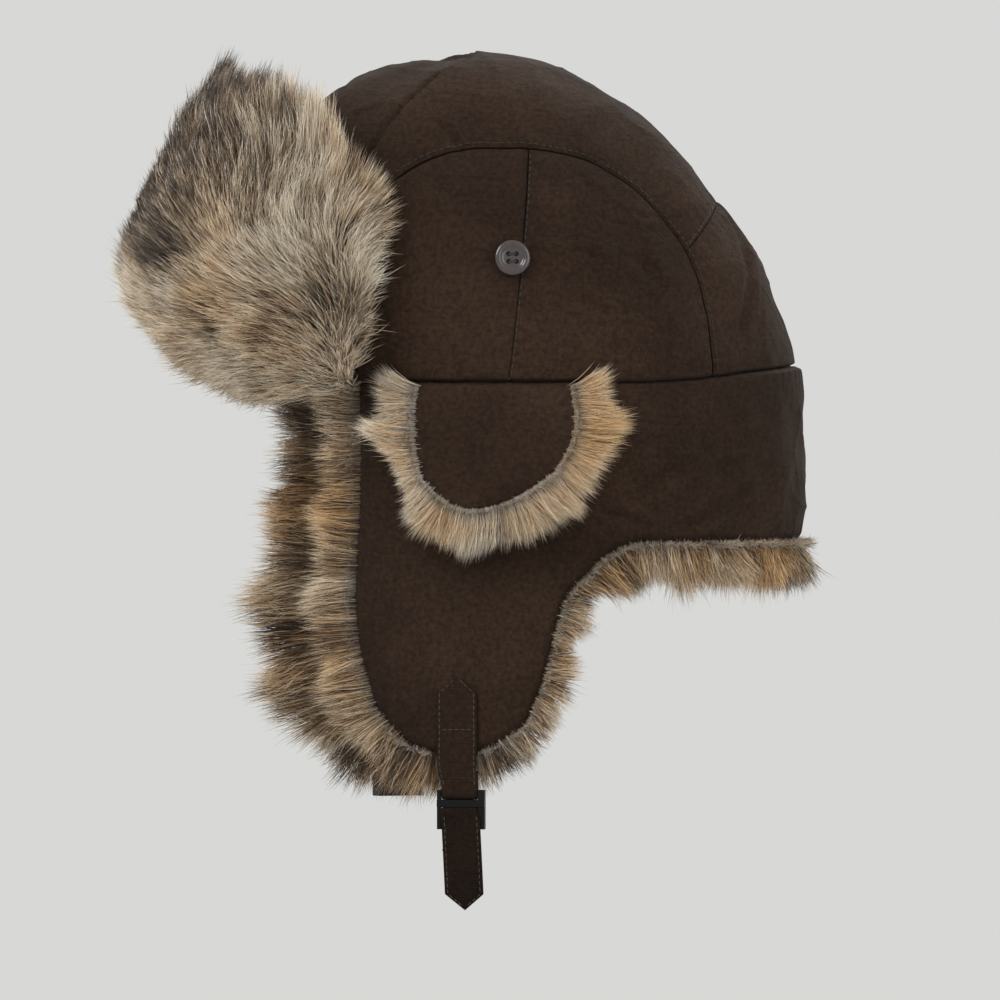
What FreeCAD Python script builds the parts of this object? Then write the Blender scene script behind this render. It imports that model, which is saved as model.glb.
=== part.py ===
"""Trapper hat with fur-lined ear flaps, front flap and neck curtain.

Units are millimetres. +Z is up, the face looks along -Y and the wearer's left is +X.
The origin is the centre of the head opening, in the plane of the seam where the crown
meets the skirt (ear flaps, side curtains and neck curtain).
Every soft layer is a closed slab between two offsets of one outer surface.
"""
import FreeCAD
import Part
import math
import os

V = FreeCAD.Vector

# Driving dimensions of the outer surface
HALF_LENGTH = 130.0     # head opening, front to back
HALF_WIDTH = 97.0       # head opening, side to side
CROWN_HEIGHT = 165.0
CROWN_LEAN = 0.30       # forward shift of the crown for each unit of height
ROUNDNESS = 2.2         # exponent of the superellipses

# Layers, measured inwards from the outer surface
GAP = 0.3               # air between neighbouring pieces
SHELL = 1.0
WADDING = 4.0
LINING = 1.0
PILE = 15.0             # length of the fur
BAND_HEIGHT = 30.0      # sweat band, round the forehead from temple to temple
BAND_START = 50.0       # its ends, as angles in front of the wearer's left and right
BAND_STAND_OFF = 3.0    # from the lining behind it

# Crown panels: the side panel ends at an arc, seen from the side
ARC_CENTRE = -33.5
ARC_REAR = 107.0
ARC_FRONT = 85.0
ARC_HEIGHT = 116.0
ARC_ROUNDNESS = 2.4
CROSS_SEAM_ANGLE = 38.5  # of the seam between top panel and back panel
SEAM_FOOT = -31.5        # the side panel's own seam, at the hem
SEAM_RISE = 13.5         # and how far back it leans by its top

# Skirt, as angles in plan from the wearer's left (0) towards the back (90)
SKIRT_TOP = -0.5
FLAP_REAR = -2.5         # Y of the line between ear flap and side curtain
FOLD_GAP = 2.0           # of cloth that turns between two bodies
NECK_ANGLE = 60.0
HEM = -80.0
EAR_BOTTOM = -184.0
EAR_CENTRE = -59.5       # Y of the ear flap's lowest point
FUR_OVERHANG = 20.0
COVER_CENTRE = -37.5     # Y of the ear cover's middle
VENT_Y = -38.0
VENT_Z = -32.0
VENT_LENGTH = 30.0
VENT_WIDTH = 22.0

# Front flap
FLAP_SPAN = 42.0         # half its angle in plan
FLAP_HEIGHT_END = 74.0
FLAP_HEIGHT_GAIN = 50.0
FLAP_BULGE_END = 12.0
FLAP_BULGE_GAIN = 47.0
FLAP_BASE = 4.0
FLAP_STAND_OFF = 2.5
FLAP_PILE = 14.0

# Button
BUTTON_Y = -29.4
BUTTON_Z = 61.0
BUTTON_RADIUS = 9.0
BUTTON_THICKNESS = 3.0
BUTTON_SHANK = 1.5
HOLE_RADIUS = 1.2
HOLE_OFFSET = 1.9
THREAD_RADIUS = 0.65

# Straps, in the frame of strap_frame(): X out of the flap, Y along it, Z up
STRAP_Y = -56.5
STRAP_WIDTH = 19.6
STRAP_THICKNESS = 1.5
STRAP_POINT = 9.0        # height of a strap's pointed end
STRAP_LIFT = 0.6         # above the ear flap's shell
LOOP_INNER = 1.5         # radius of a strap's turn round a bar
LEFT_STRAP = (-7.6, 10.1)    # Y of its two edges
LEFT_TAB_TIP = -145.5
LEFT_TAB_END = -186.5
TAIL_WIDTH = 19.4
TAIL_TOP = -213.8
TAIL_TIP = -264.0
TAIL_X = 2.0
WEBBING = 1.2            # thickness where the left strap passes through the plug
RIGHT_STRAP_HALF = 7.6
RIGHT_TAB_TIP = -125.5
RIGHT_TAB_END = -166.5

# Side-release buckle: the plug on the left strap, the socket on the right one
BAR_RADIUS = 1.15
PLUG_BAR_Z = -204.0
PLUG_NEAR = -2.6         # X of the face towards the ear flap
RAIL_FAR = 1.9
FRONT_RAIL = (-9.9, -7.9)
REAR_RAIL = (10.4, 14.0)
RAIL_TOP = -202.4
SLOT_TOP = -211.0        # the strap comes forward through the slot below this plate
SLOT_LOW = -214.4
PLATE_LOW = -207.4
PLUG_END = -222.0
GUIDE = (0.8, 3.3)
GUIDE_END = -236.0
PRONG_END = -238.0
PRONG_OFFSET = 6.6
PRONG_HALF = 1.3
BARB = 3.0
SOCKET_BAR_Z = -186.0
SOCKET_STAND_OFF = 5.4   # room for the socket in front of the ear flap
SOCKET_HALF_WIDTH = 12.4
SOCKET_HALF_DEPTH = 4.1
SOCKET_WALL = 1.2
SOCKET_SIDE = 2.0
SOCKET_TOP = -190.5
SOCKET_MOUTH = -210.0
LUG_WIDTH = 4.0
LUG_TOP = -183.5


# Curves and surfaces -----------------------------------------------------------------

def curve(*points):
    """A smooth curve through 2-D points, as a function of 0..1."""
    spline = Part.BSplineCurve()
    spline.interpolate([V(a, b, 0) for a, b in points])
    first, last = spline.FirstParameter, spline.LastParameter

    def at(t):
        p = spline.value(first + (last - first) * t)
        return p.x, p.y
    return at


def coons(bottom, top, left, right):
    """The 2-D patch that four boundary curves enclose, as a function of (u, v)."""
    def at(u, v):
        corners = (bottom(0), bottom(1), top(0), top(1))
        place = []
        for i in (0, 1):
            ends = (1 - v) * bottom(u)[i] + v * top(u)[i]
            sides = (1 - u) * left(v)[i] + u * right(v)[i]
            twist = ((1 - u) * (1 - v) * corners[0][i] + u * (1 - v) * corners[1][i]
                     + (1 - u) * v * corners[2][i] + u * v * corners[3][i])
            place.append(ends + sides - twist)
        return tuple(place)
    return at


def power(value, exponent):
    return math.copysign(abs(value) ** exponent, value)


def plan_angle(y):
    """The skirt's angle, in degrees, at a given Y on the wearer's left."""
    return math.degrees(math.asin(power(y / HALF_LENGTH, ROUNDNESS / 2)))


def skirt_point(angle, z):
    turn = math.radians(angle)
    x = HALF_WIDTH * power(math.cos(turn), 2 / ROUNDNESS)
    y = HALF_LENGTH * power(math.sin(turn), 2 / ROUNDNESS)
    return V(x, y, z)


def skirt_normal(p):
    n = V(power(p.x, ROUNDNESS - 1) / HALF_WIDTH ** ROUNDNESS,
          power(p.y, ROUNDNESS - 1) / HALF_LENGTH ** ROUNDNESS, 0)
    return n.normalize()


def crown_half_width(y, z):
    upright = y + CROWN_LEAN * z
    rest = (1 - abs(upright / HALF_LENGTH) ** ROUNDNESS
            - abs(z / CROWN_HEIGHT) ** ROUNDNESS)
    return HALF_WIDTH * max(rest, 0) ** (1 / ROUNDNESS)


def crown_normal(p):
    """Outward; level at the hem, so that the inner layers end in the hem's plane."""
    upright = p.y + CROWN_LEAN * p.z
    across = power(p.x, ROUNDNESS - 1) / HALF_WIDTH ** ROUNDNESS
    along = power(upright, ROUNDNESS - 1) / HALF_LENGTH ** ROUNDNESS
    rise = power(p.z, ROUNDNESS - 1) / CROWN_HEIGHT ** ROUNDNESS + CROWN_LEAN * along
    return V(across, along, rise * min(1, p.z / 40)).normalize()


def arc_radius(angle):
    """Distance of the side panel's arc from the origin, in upright (y, z) coordinates."""
    low, high = 0.0, 250.0
    for _ in range(50):
        middle = (low + high) / 2
        z = middle * math.sin(math.radians(angle))
        y = middle * math.cos(math.radians(angle)) - CROWN_LEAN * z - ARC_CENTRE
        half = ARC_REAR if y > 0 else ARC_FRONT
        inside = (abs(y / half) ** ARC_ROUNDNESS
                  + abs(z / ARC_HEIGHT) ** ARC_ROUNDNESS) < 1
        low, high = (middle, high) if inside else (low, middle)
    return low


def strip_point(angle, across):
    """On the centre strip: angle 0 at the nape and 180 at the forehead, across -1..1."""
    cos, sin = math.cos(math.radians(angle)), math.sin(math.radians(angle))
    radius = arc_radius(angle)
    z = radius * sin
    edge = crown_half_width(radius * cos - CROWN_LEAN * z, z) - GAP
    x = across * edge
    spread = abs(cos / HALF_LENGTH) ** ROUNDNESS + abs(sin / CROWN_HEIGHT) ** ROUNDNESS
    reach = ((1 - abs(x / HALF_WIDTH) ** ROUNDNESS) / spread) ** (1 / ROUNDNESS)
    return V(x, reach * cos - CROWN_LEAN * reach * sin, reach * sin)


def flap_point(across, rise):
    """On the front flap's backing: across -1..1 from right to left, rise 0..1."""
    angle = -90 + FLAP_SPAN * across
    foot = skirt_point(angle, FLAP_BASE)
    out = skirt_normal(foot)
    foot.y -= CROWN_LEAN * FLAP_BASE
    height = FLAP_HEIGHT_END + FLAP_HEIGHT_GAIN * (1 - abs(across) ** 4.5)
    bulge = FLAP_BULGE_END + FLAP_BULGE_GAIN * max(0, 1 - across ** 2)
    lean = bulge * math.sin(math.radians(153) * max(rise, 0) ** 0.75)
    return foot + out * (FLAP_STAND_OFF + lean) + V(0, 0, height * rise)


def flap_normal(across, rise):
    step = 0.01
    low = max(rise - step, 0)
    along = flap_point(across + step, rise) - flap_point(across - step, rise)
    up = flap_point(across, rise + step) - flap_point(across, low)
    return up.cross(along).normalize() * -1


# Solids ------------------------------------------------------------------------------

def skin(points):
    surface = Part.BSplineSurface()
    surface.interpolate(points)
    return surface


def slab(place, near, far, steps_u=9, steps_v=9):
    """Closed solid between two offsets of a surface.

    place(u, v) gives a point and its outward normal; near and far are distances along
    that normal, or functions of (u, v).
    """
    def distance(value, u, v):
        return value(u, v) if callable(value) else value

    grids = ([], [])
    for i in range(steps_u):
        rows = ([], [])
        for j in range(steps_v):
            u, v = i / (steps_u - 1), j / (steps_v - 1)
            p, n = place(u, v)
            rows[0].append(p + n * distance(near, u, v))
            rows[1].append(p + n * distance(far, u, v))
        grids[0].append(rows[0])
        grids[1].append(rows[1])
    low, high = skin(grids[0]), skin(grids[1])
    u0, u1, v0, v1 = low.bounds()
    w0, w1, x0, x1 = high.bounds()
    faces = [low.toShape(), high.toShape()]
    pairs = ((low.uIso(u0), high.uIso(w0)), (low.uIso(u1), high.uIso(w1)),
             (low.vIso(v0), high.vIso(x0)), (low.vIso(v1), high.vIso(x1)))
    for a, b in pairs:
        faces.append(Part.makeRuledSurface(a.toShape(), b.toShape()))
    shell = Part.makeShell(faces)
    shell.sewShape()
    solid = Part.makeSolid(shell)
    if solid.Volume < 0:
        solid.reverse()
    return solid


def mirrored(shape):
    return shape.mirror(V(0, 0, 0), V(1, 0, 0))


def save(name, *shapes):
    shape = shapes[0] if len(shapes) == 1 else Part.makeCompound(list(shapes))
    for solid in shape.Solids:
        if not solid.isValid() or solid.Volume <= 0:
            print("BAD SOLID", name, solid.isValid(), solid.Volume)
    shape.exportStep("parts/" + name + ".step")


def save_pair(name, *shapes):
    save("left_" + name, *shapes)
    save("right_" + name, *[mirrored(s) for s in shapes])


# Crown -------------------------------------------------------------------------------

def arc_at(angle, shrink=0.0):
    """(y, z) of the side panel's arc."""
    radius = arc_radius(angle) - shrink
    z = radius * math.sin(math.radians(angle))
    return radius * math.cos(math.radians(angle)) - CROWN_LEAN * z, z


def seam_y(z):
    return SEAM_FOOT + SEAM_RISE * z / ARC_HEIGHT


def seam_top_angle():
    y, z = seam_y(ARC_HEIGHT), ARC_HEIGHT
    return math.degrees(math.atan2(z, y + CROWN_LEAN * z))


def side_patch(start, corner, end_gap):
    """Half of a side panel, between its seam, the hem and the arc.

    start is the arc's angle at the hem, corner the angle that divides the arc in two.
    """
    top = seam_top_angle() + end_gap
    foot = (seam_y(0) + (GAP if start == 0 else -GAP) / 2, 0)

    def hem(t):
        end = arc_at(start, GAP)
        return foot[0] + (end[0] - foot[0]) * t, 0

    def low_arc(t):
        return arc_at(start + (corner - start) * t, GAP)

    def high_arc(t):
        return arc_at(top + (corner - top) * t, GAP)

    def seam(t):
        end = high_arc(0)
        return foot[0] + (end[0] - foot[0]) * t, end[1] * t

    return coons(hem, high_arc, seam, low_arc)


def on_crown(patch):
    def place(u, v):
        y, z = patch(u, v)
        p = V(crown_half_width(y, z), y, z)
        return p, crown_normal(p)
    return place


def on_strip(first, last):
    def place(u, v):
        p = strip_point(first + (last - first) * u, 2 * v - 1)
        return p, crown_normal(p)
    return place


def crown_layers():
    """Panels of the shell, then the wadding and lining behind them."""
    rear = on_crown(side_patch(0, 45, -0.15))
    front = on_crown(side_patch(180, 130, 0.15))
    top = on_strip(CROSS_SEAM_ANGLE + 0.1, 180)
    back = on_strip(0, CROSS_SEAM_ANGLE - 0.1)
    save("crown_top_panel", slab(top, -SHELL, 0, 17, 9))
    save("crown_back_panel", slab(back, -SHELL, 0, 9, 9))
    save_pair("side_rear_panel", slab(rear, -SHELL, 0))
    save_pair("side_front_panel", slab(front, -SHELL, 0))
    outer = SHELL + GAP
    inner = outer + WADDING
    save("crown_wadding",
         slab(top, -inner, -outer, 17, 9), slab(back, -inner, -outer, 9, 9))
    save_pair("crown_side_wadding",
              slab(rear, -inner, -outer), slab(front, -inner, -outer))
    outer = inner + GAP
    inner = outer + LINING
    save("crown_lining",
         slab(top, -inner, -outer, 17, 9), slab(back, -inner, -outer, 9, 9))
    save_pair("crown_side_lining",
              slab(rear, -inner, -outer), slab(front, -inner, -outer))
    return inner


def sweat_band(depth):
    """Band round the forehead, inside the lining, from temple to temple."""
    def place(u, v):
        foot = skirt_point(-BAND_START + (2 * BAND_START - 180) * u, 0)
        z = 1 + BAND_HEIGHT * v
        narrowing = 1 - 0.0006 * z
        return V(foot.x * narrowing, foot.y - CROWN_LEAN * z, z), skirt_normal(foot)
    far = -depth - BAND_STAND_OFF
    save("sweat_band", slab(place, far - LINING, far, 17, 5))


# Skirt -------------------------------------------------------------------------------

def on_skirt(patch):
    def place(u, v):
        angle, z = patch(u, v)
        p = skirt_point(angle, z)
        return p, skirt_normal(p)
    return place


def skirt_curve(*points):
    """A curve on the skirt through (Y, Z) points on the wearer's left."""
    return curve(*[(plan_angle(y), z) for y, z in points])


def ear_patch(overhang):
    """The ear flap's outline, grown by the fur's overhang except along its two folds."""
    o = overhang
    c = EAR_CENTRE
    front = c - 44 - o
    high_front = c - 44 - 0.3 * o
    low_front = (c - 35 - 0.7 * o, -164 - 0.7 * o)
    low_rear = (c + 36 + 0.7 * o, -171 - 0.7 * o)
    top = skirt_curve((high_front, SKIRT_TOP), (c, SKIRT_TOP), (FLAP_REAR, SKIRT_TOP))
    bottom = skirt_curve(low_front, (c - 18 - 0.2 * o, -181 - o), (c, EAR_BOTTOM - o),
                         (c + 18 + 0.2 * o, -182 - o), low_rear)
    left = skirt_curve((high_front, SKIRT_TOP), (front, -70), (front, -130), low_front)
    right = skirt_curve((FLAP_REAR, SKIRT_TOP), (FLAP_REAR, -55), (FLAP_REAR - 1.5, -104),
                        (c + 48 + 0.35 * o, -138 - 0.2 * o), low_rear)
    return coons(top, bottom, left, right)


def curtain_patch(overhang):
    """Side curtain: static, from the ear flap's rear line to the neck curtain."""
    start = FLAP_REAR + FOLD_GAP
    corner = HALF_LENGTH * math.sin(math.radians(NECK_ANGLE)) ** (2 / ROUNDNESS)
    o = overhang
    top = skirt_curve((start, SKIRT_TOP), (60, SKIRT_TOP), (corner, SKIRT_TOP))
    bottom = skirt_curve((start, -106 - o), (FLAP_REAR + 14, -92 - o),
                         (FLAP_REAR + 30, -81 - o), (75, HEM - o), (corner, HEM - o))
    left = skirt_curve((start, SKIRT_TOP), (start, -106 - o))
    right = skirt_curve((corner, SKIRT_TOP), (corner, HEM - o))
    return coons(top, bottom, left, right)


def neck_patch(overhang):
    first = NECK_ANGLE + 0.8
    last = 180 - first

    def at(u, v):
        return first + (last - first) * u, SKIRT_TOP + (HEM - overhang - SKIRT_TOP) * v
    return at


def vent(length, width):
    """Oval bore through the ear flap, for hearing with the cover turned up."""
    centre = skirt_point(plan_angle(VENT_Y), VENT_Z)
    n = skirt_normal(centre)
    disc = Part.makeCylinder(1, 80, V(0, 0, -40), V(0, 0, 1))
    stretch = FreeCAD.Matrix()
    stretch.scale(length / 2, width / 2, 1)
    oval = disc.transformGeometry(stretch)
    oval.Placement = FreeCAD.Placement(centre, FreeCAD.Rotation(V(0, 0, 1), V(1, 0, 0)))
    oval.rotate(centre, V(0, 0, 1), math.degrees(math.atan2(n.y, n.x)))
    return oval


def skirt_layers(name, plain, furred, keep, cutter=None, steps=9):
    """Shell, wadding and fur of one skirt piece."""
    outer = SHELL + GAP
    inner = outer + WADDING
    layers = (("shell", plain, -SHELL, 0),
              ("wadding", plain, -inner, -outer),
              ("fur", furred, -inner - GAP - PILE, -inner - GAP))
    for layer, patch, near, far in layers:
        solid = slab(on_skirt(patch), near, far, steps, steps)
        if cutter:
            solid = solid.cut(cutter).Solids[0]
        keep(name + "_" + layer, solid)


# Ear covers --------------------------------------------------------------------------

def cover_patch(overhang):
    o = overhang
    c = COVER_CENTRE
    low_front = (c - 34 - 0.6 * o, -48 - 0.8 * o)
    low_rear = (c + 28 + 0.8 * o, -45 - 0.8 * o)
    top = skirt_curve((c - 37 - o, -2), (c, -2), (c + 37 + o, -2))
    bottom = skirt_curve(low_front, (c - 17 - 0.2 * o, -63 - 1.1 * o),
                         (c + 9 + 0.1 * o, -58 - 1.3 * o), low_rear)
    left = skirt_curve((c - 37 - o, -2), (c - 38 - o, -24), low_front)
    right = skirt_curve((c + 37 + o, -2), (c + 38 + o, -24), low_rear)
    return coons(top, bottom, left, right)


def cover_depth(drop):
    """How far the cover's shell stands off the ear flap, at a distance below its fold."""
    return 1.0 + 10.5 * (1 - math.exp(-drop / 28))


def ear_cover():
    fur_patch = cover_patch(0.7 * FUR_OVERHANG)
    shell_patch = cover_patch(0)

    def fur_near(u, v):
        drop = -fur_patch(u, v)[1]
        return 0.4 + 3.0 * min(1, drop / 25)

    def fur_far(u, v):
        return cover_depth(-fur_patch(u, v)[1])

    def shell_near(u, v):
        return GAP + cover_depth(-shell_patch(u, v)[1])

    def shell_far(u, v):
        return shell_near(u, v) + SHELL

    save_pair("ear_cover_fur", slab(on_skirt(fur_patch), fur_near, fur_far))
    save_pair("ear_cover_shell", slab(on_skirt(shell_patch), shell_near, shell_far))

    centre = skirt_point(plan_angle(COVER_CENTRE - 7), -66)
    n = skirt_normal(centre)
    save_pair("button_loop", Part.makeTorus(8.5, 0.7, centre + n * 1.6, n))


# Button ------------------------------------------------------------------------------

def button():
    """Four-hole button on a thread shank, standing on the side panel's seam."""
    foot = V(crown_half_width(BUTTON_Y, BUTTON_Z), BUTTON_Y, BUTTON_Z)
    r, t = BUTTON_RADIUS, BUTTON_THICKNESS
    outline = [V(0, 0, 0), V(r - 1.2, 0, 0), V(r, 0, 0.9), V(r, 0, t - 0.7),
               V(r - 0.8, 0, t), V(r - 2.4, 0, t), V(r - 3.4, 0, t - 1.1), V(0, 0, t - 1.1)]
    profile = Part.Face(Part.makePolygon(outline + outline[:1]))
    disc = profile.revolve(V(0, 0, 0), V(0, 0, 1), 360)
    threads = []
    for x in (-HOLE_OFFSET, HOLE_OFFSET):
        for y in (-HOLE_OFFSET, HOLE_OFFSET):
            disc = disc.cut(Part.makeCylinder(HOLE_RADIUS, 2 * t, V(x, y, -1)))
            stitch = Part.makeCylinder(THREAD_RADIUS, BUTTON_SHANK + t - 0.7,
                                       V(x, y, 0.2 - BUTTON_SHANK))
            threads.append(stitch)
    for y in (-HOLE_OFFSET, HOLE_OFFSET):
        bar = Part.makeCylinder(THREAD_RADIUS, 2 * HOLE_OFFSET,
                                V(-HOLE_OFFSET, y, t - 0.4), V(1, 0, 0))
        ends = [s for s in threads if abs(s.BoundBox.Center.y - y) < 1 and len(s.Faces) == 3]
        threads = [s for s in threads if s not in ends]
        threads.append(bar.fuse(ends))
    placing = FreeCAD.Placement(foot + crown_normal(foot) * BUTTON_SHANK,
                                FreeCAD.Rotation(V(0, 0, 1), crown_normal(foot)))
    disc = disc.Solids[0]
    disc.Placement = placing
    solids = []
    for thread in threads:
        solid = thread.Solids[0]
        solid.Placement = placing.multiply(solid.Placement)
        solids.append(solid)
    save_pair("button", disc)
    save_pair("button_thread", *solids)


# Straps and buckle -------------------------------------------------------------------

def strap_frame():
    """Placement whose X runs out of the ear flap, Y along it towards the back, Z up."""
    foot = skirt_point(plan_angle(STRAP_Y), 0)
    n = skirt_normal(foot)
    return FreeCAD.Placement(foot, FreeCAD.Rotation(V(0, 0, 1),
                                                    math.degrees(math.atan2(n.y, n.x))))


def box(x0, x1, y0, y1, z0, z1):
    return Part.makeBox(x1 - x0, y1 - y0, z1 - z0, V(x0, y0, z0))


def pentagon(x0, x1, y0, y1, tip, shoulder, end):
    """Flat strap with one pointed end, from tip to its straight end."""
    middle = (y0 + y1) / 2
    outline = [V(x0, y0, end), V(x0, y0, shoulder), V(x0, middle, tip),
               V(x0, y1, shoulder), V(x0, y1, end)]
    face = Part.Face(Part.makePolygon(outline + outline[:1]))
    return face.extrude(V(x1 - x0, 0, 0))


def strap_loop(y0, y1, top, bar_z, back_top):
    """Strap that runs down, round the buckle's bar and back up behind."""
    x0, x1 = STRAP_LIFT, STRAP_LIFT + STRAP_THICKNESS
    centre = x0 - LOOP_INNER
    outer = LOOP_INNER + STRAP_THICKNESS
    width = y1 - y0
    ring = Part.makeCylinder(outer, width, V(centre, y0, bar_z), V(0, 1, 0))
    ring = ring.cut(Part.makeCylinder(LOOP_INNER, width, V(centre, y0, bar_z), V(0, 1, 0)))
    ring = ring.cut(box(centre - 9, centre + 9, y0, y1, bar_z, bar_z + 9))
    front = box(x0, x1, y0, y1, bar_z, top)
    back = box(centre - outer, centre - LOOP_INNER, y0, y1, bar_z, back_top)
    return ring.fuse([front, back]).removeSplitter()


def put(shape):
    placed = shape.copy()
    placed.Placement = strap_frame().multiply(placed.Placement)
    return placed


def left_strap_and_plug():
    x0, x1 = STRAP_LIFT, STRAP_LIFT + STRAP_THICKNESS
    y0, y1 = LEFT_STRAP
    half = STRAP_WIDTH / 2
    save("left_strap_tab", put(pentagon(x0, x1, -half, half, LEFT_TAB_TIP,
                                        LEFT_TAB_TIP - STRAP_POINT, LEFT_TAB_END)))
    save("left_strap", put(strap_loop(y0, y1, LEFT_TAB_END - 2 * GAP, PLUG_BAR_Z,
                                      PLUG_BAR_Z + 11)))

    front, rear = FRONT_RAIL[0], REAR_RAIL[1]
    bar = Part.makeCylinder(BAR_RADIUS, rear - front - 0.8,
                            V(x0 - LOOP_INNER, front + 0.4, PLUG_BAR_Z), V(0, 1, 0))
    plug = bar.fuse([
        box(PLUG_NEAR, RAIL_FAR, *FRONT_RAIL, PLUG_END, RAIL_TOP),
        box(PLUG_NEAR, RAIL_FAR, *REAR_RAIL, PLUG_END, RAIL_TOP),
        box(PLUG_NEAR, -PLUG_NEAR, front, rear, SLOT_TOP, PLATE_LOW),
        box(PLUG_NEAR, 1.4, front, rear, PLUG_END, SLOT_LOW),
        box(-1.6, 0.6, *GUIDE, GUIDE_END, PLUG_END + 1),
    ]).removeSplitter()
    save("left_buckle_plug", put(plug.Solids[0]))
    prong("left_buckle_front_prong", -1)
    prong("left_buckle_rear_prong", 1)

    turn_top = SLOT_TOP - 1.2 - WEBBING
    near = -4.2
    threaded = box(near, TAIL_X + WEBBING, y0, y1, turn_top, turn_top + WEBBING)
    threaded = threaded.fuse(box(near, near + WEBBING, y0, y1, PLUG_END + 2, turn_top))
    save("left_strap_turn", put(threaded.removeSplitter()))
    save("left_strap_tail", put(pentagon(TAIL_X, TAIL_X + WEBBING, y0, y0 + TAIL_WIDTH,
                                         TAIL_TIP, TAIL_TIP + STRAP_POINT - 1, TAIL_TOP)))


def prong(name, side):
    """One springing arm of the plug, with the barb that catches in the socket."""
    near, far = -1.9, 0.9
    root = sum(GUIDE) / 2 + side * PRONG_OFFSET
    arm = box(near, far, root - PRONG_HALF, root + PRONG_HALF, PRONG_END, PLUG_END - GAP)
    outline = [V(near, root, PRONG_END), V(near, root + side * BARB, PRONG_END + 6),
               V(near, root + side * PRONG_HALF, PRONG_END + 7), V(near, root, PRONG_END + 7)]
    barb = Part.Face(Part.makePolygon(outline + outline[:1])).extrude(V(far - near, 0, 0))
    save(name, put(arm.fuse(barb).removeSplitter()))


def right_strap_and_socket():
    """The socket hangs in front of the flap, so its strap starts on a folded pad."""
    x0, x1 = STRAP_LIFT, STRAP_LIFT + STRAP_THICKNESS
    half = STRAP_WIDTH / 2
    tab = pentagon(x0, x1, -half, half, RIGHT_TAB_TIP, RIGHT_TAB_TIP - STRAP_POINT,
                   RIGHT_TAB_END)
    pad = box(x0, x1 + SOCKET_STAND_OFF, -half, half, RIGHT_TAB_END, RIGHT_TAB_END + 3)
    save("right_strap_tab", mirrored(put(tab.fuse(pad).removeSplitter())))

    loop = strap_loop(-RIGHT_STRAP_HALF, RIGHT_STRAP_HALF, RIGHT_TAB_END - 2 * GAP,
                      SOCKET_BAR_Z, SOCKET_BAR_Z + 5)
    loop.translate(V(SOCKET_STAND_OFF, 0, 0))
    save("right_strap", mirrored(put(loop)))

    x = x0 - LOOP_INNER + SOCKET_STAND_OFF
    wide, deep = SOCKET_HALF_WIDTH, SOCKET_HALF_DEPTH
    inner_wide, inner_deep = wide - SOCKET_SIDE, deep - SOCKET_WALL
    socket = box(x - deep, x + deep, -wide, wide, SOCKET_MOUTH, SOCKET_TOP)
    socket = socket.cut(box(x - inner_deep, x + inner_deep, -inner_wide, inner_wide,
                            SOCKET_MOUTH - 1, SOCKET_TOP - SOCKET_SIDE))
    lugs = []
    for side in (-1, 1):
        y = side * (wide - SOCKET_SIDE / 2)
        socket = socket.cut(box(x - inner_deep, x + inner_deep, y - 1.2, y + 1.2,
                                SOCKET_MOUTH + 4, SOCKET_TOP - 5.5))
        y = side * (wide - LUG_WIDTH / 2)
        lugs.append(box(x - 1.6, x + 1.6, y - LUG_WIDTH / 2, y + LUG_WIDTH / 2,
                        SOCKET_TOP - 0.5, LUG_TOP))
    bar = Part.makeCylinder(BAR_RADIUS, 2 * wide - LUG_WIDTH - 0.8,
                            V(x, -wide + LUG_WIDTH / 2 + 0.4, SOCKET_BAR_Z), V(0, 1, 0))
    socket = socket.fuse(lugs + [bar]).removeSplitter()
    save("right_buckle_socket", mirrored(put(socket.Solids[0])))


# Front flap --------------------------------------------------------------------------

def front_flap():
    def on_flap(span, low, high):
        def place(u, v):
            across = span * (2 * u - 1)
            rise = low + (high - low) * v
            return flap_point(across, rise), flap_normal(across, rise)
        return place

    outer = SHELL + GAP
    inner = outer + WADDING
    plain = on_flap(1.0, 0.0, 1.0)
    furred = on_flap(1.12, 0.0, 1.1)
    save("front_flap_shell", slab(plain, 0, SHELL, 17, 9))
    save("front_flap_wadding", slab(plain, outer, inner, 17, 9))

    def tips(u, v):
        edge = min(1, 6 * min(u, 1 - u)) * min(1, 0.35 + 3 * v)
        return inner + GAP + 3 + (FLAP_PILE - 3) * edge

    save("front_flap_fur", slab(furred, inner + GAP, tips, 17, 9))


os.makedirs("parts", exist_ok=True)
lining_depth = crown_layers()
sweat_band(lining_depth)
opening = vent(VENT_LENGTH, VENT_WIDTH)
skirt_layers("ear_flap", ear_patch(0), ear_patch(FUR_OVERHANG), save_pair, opening)
skirt_layers("side_curtain", curtain_patch(0), curtain_patch(FUR_OVERHANG), save_pair)
skirt_layers("neck_curtain", neck_patch(0), neck_patch(FUR_OVERHANG), save)
ear_cover()
button()
left_strap_and_plug()
right_strap_and_socket()
front_flap()
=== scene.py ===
"""Looks of the trapper hat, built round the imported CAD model.

Shapes are worked out in millimetres, in the CAD source's own terms, and turn into metres
when a mesh is made. The wearer's left side is modelled, and the right is its mirror image.
"""
import bmesh
import bpy
import math
import numpy as np
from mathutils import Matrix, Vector, kdtree


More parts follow.
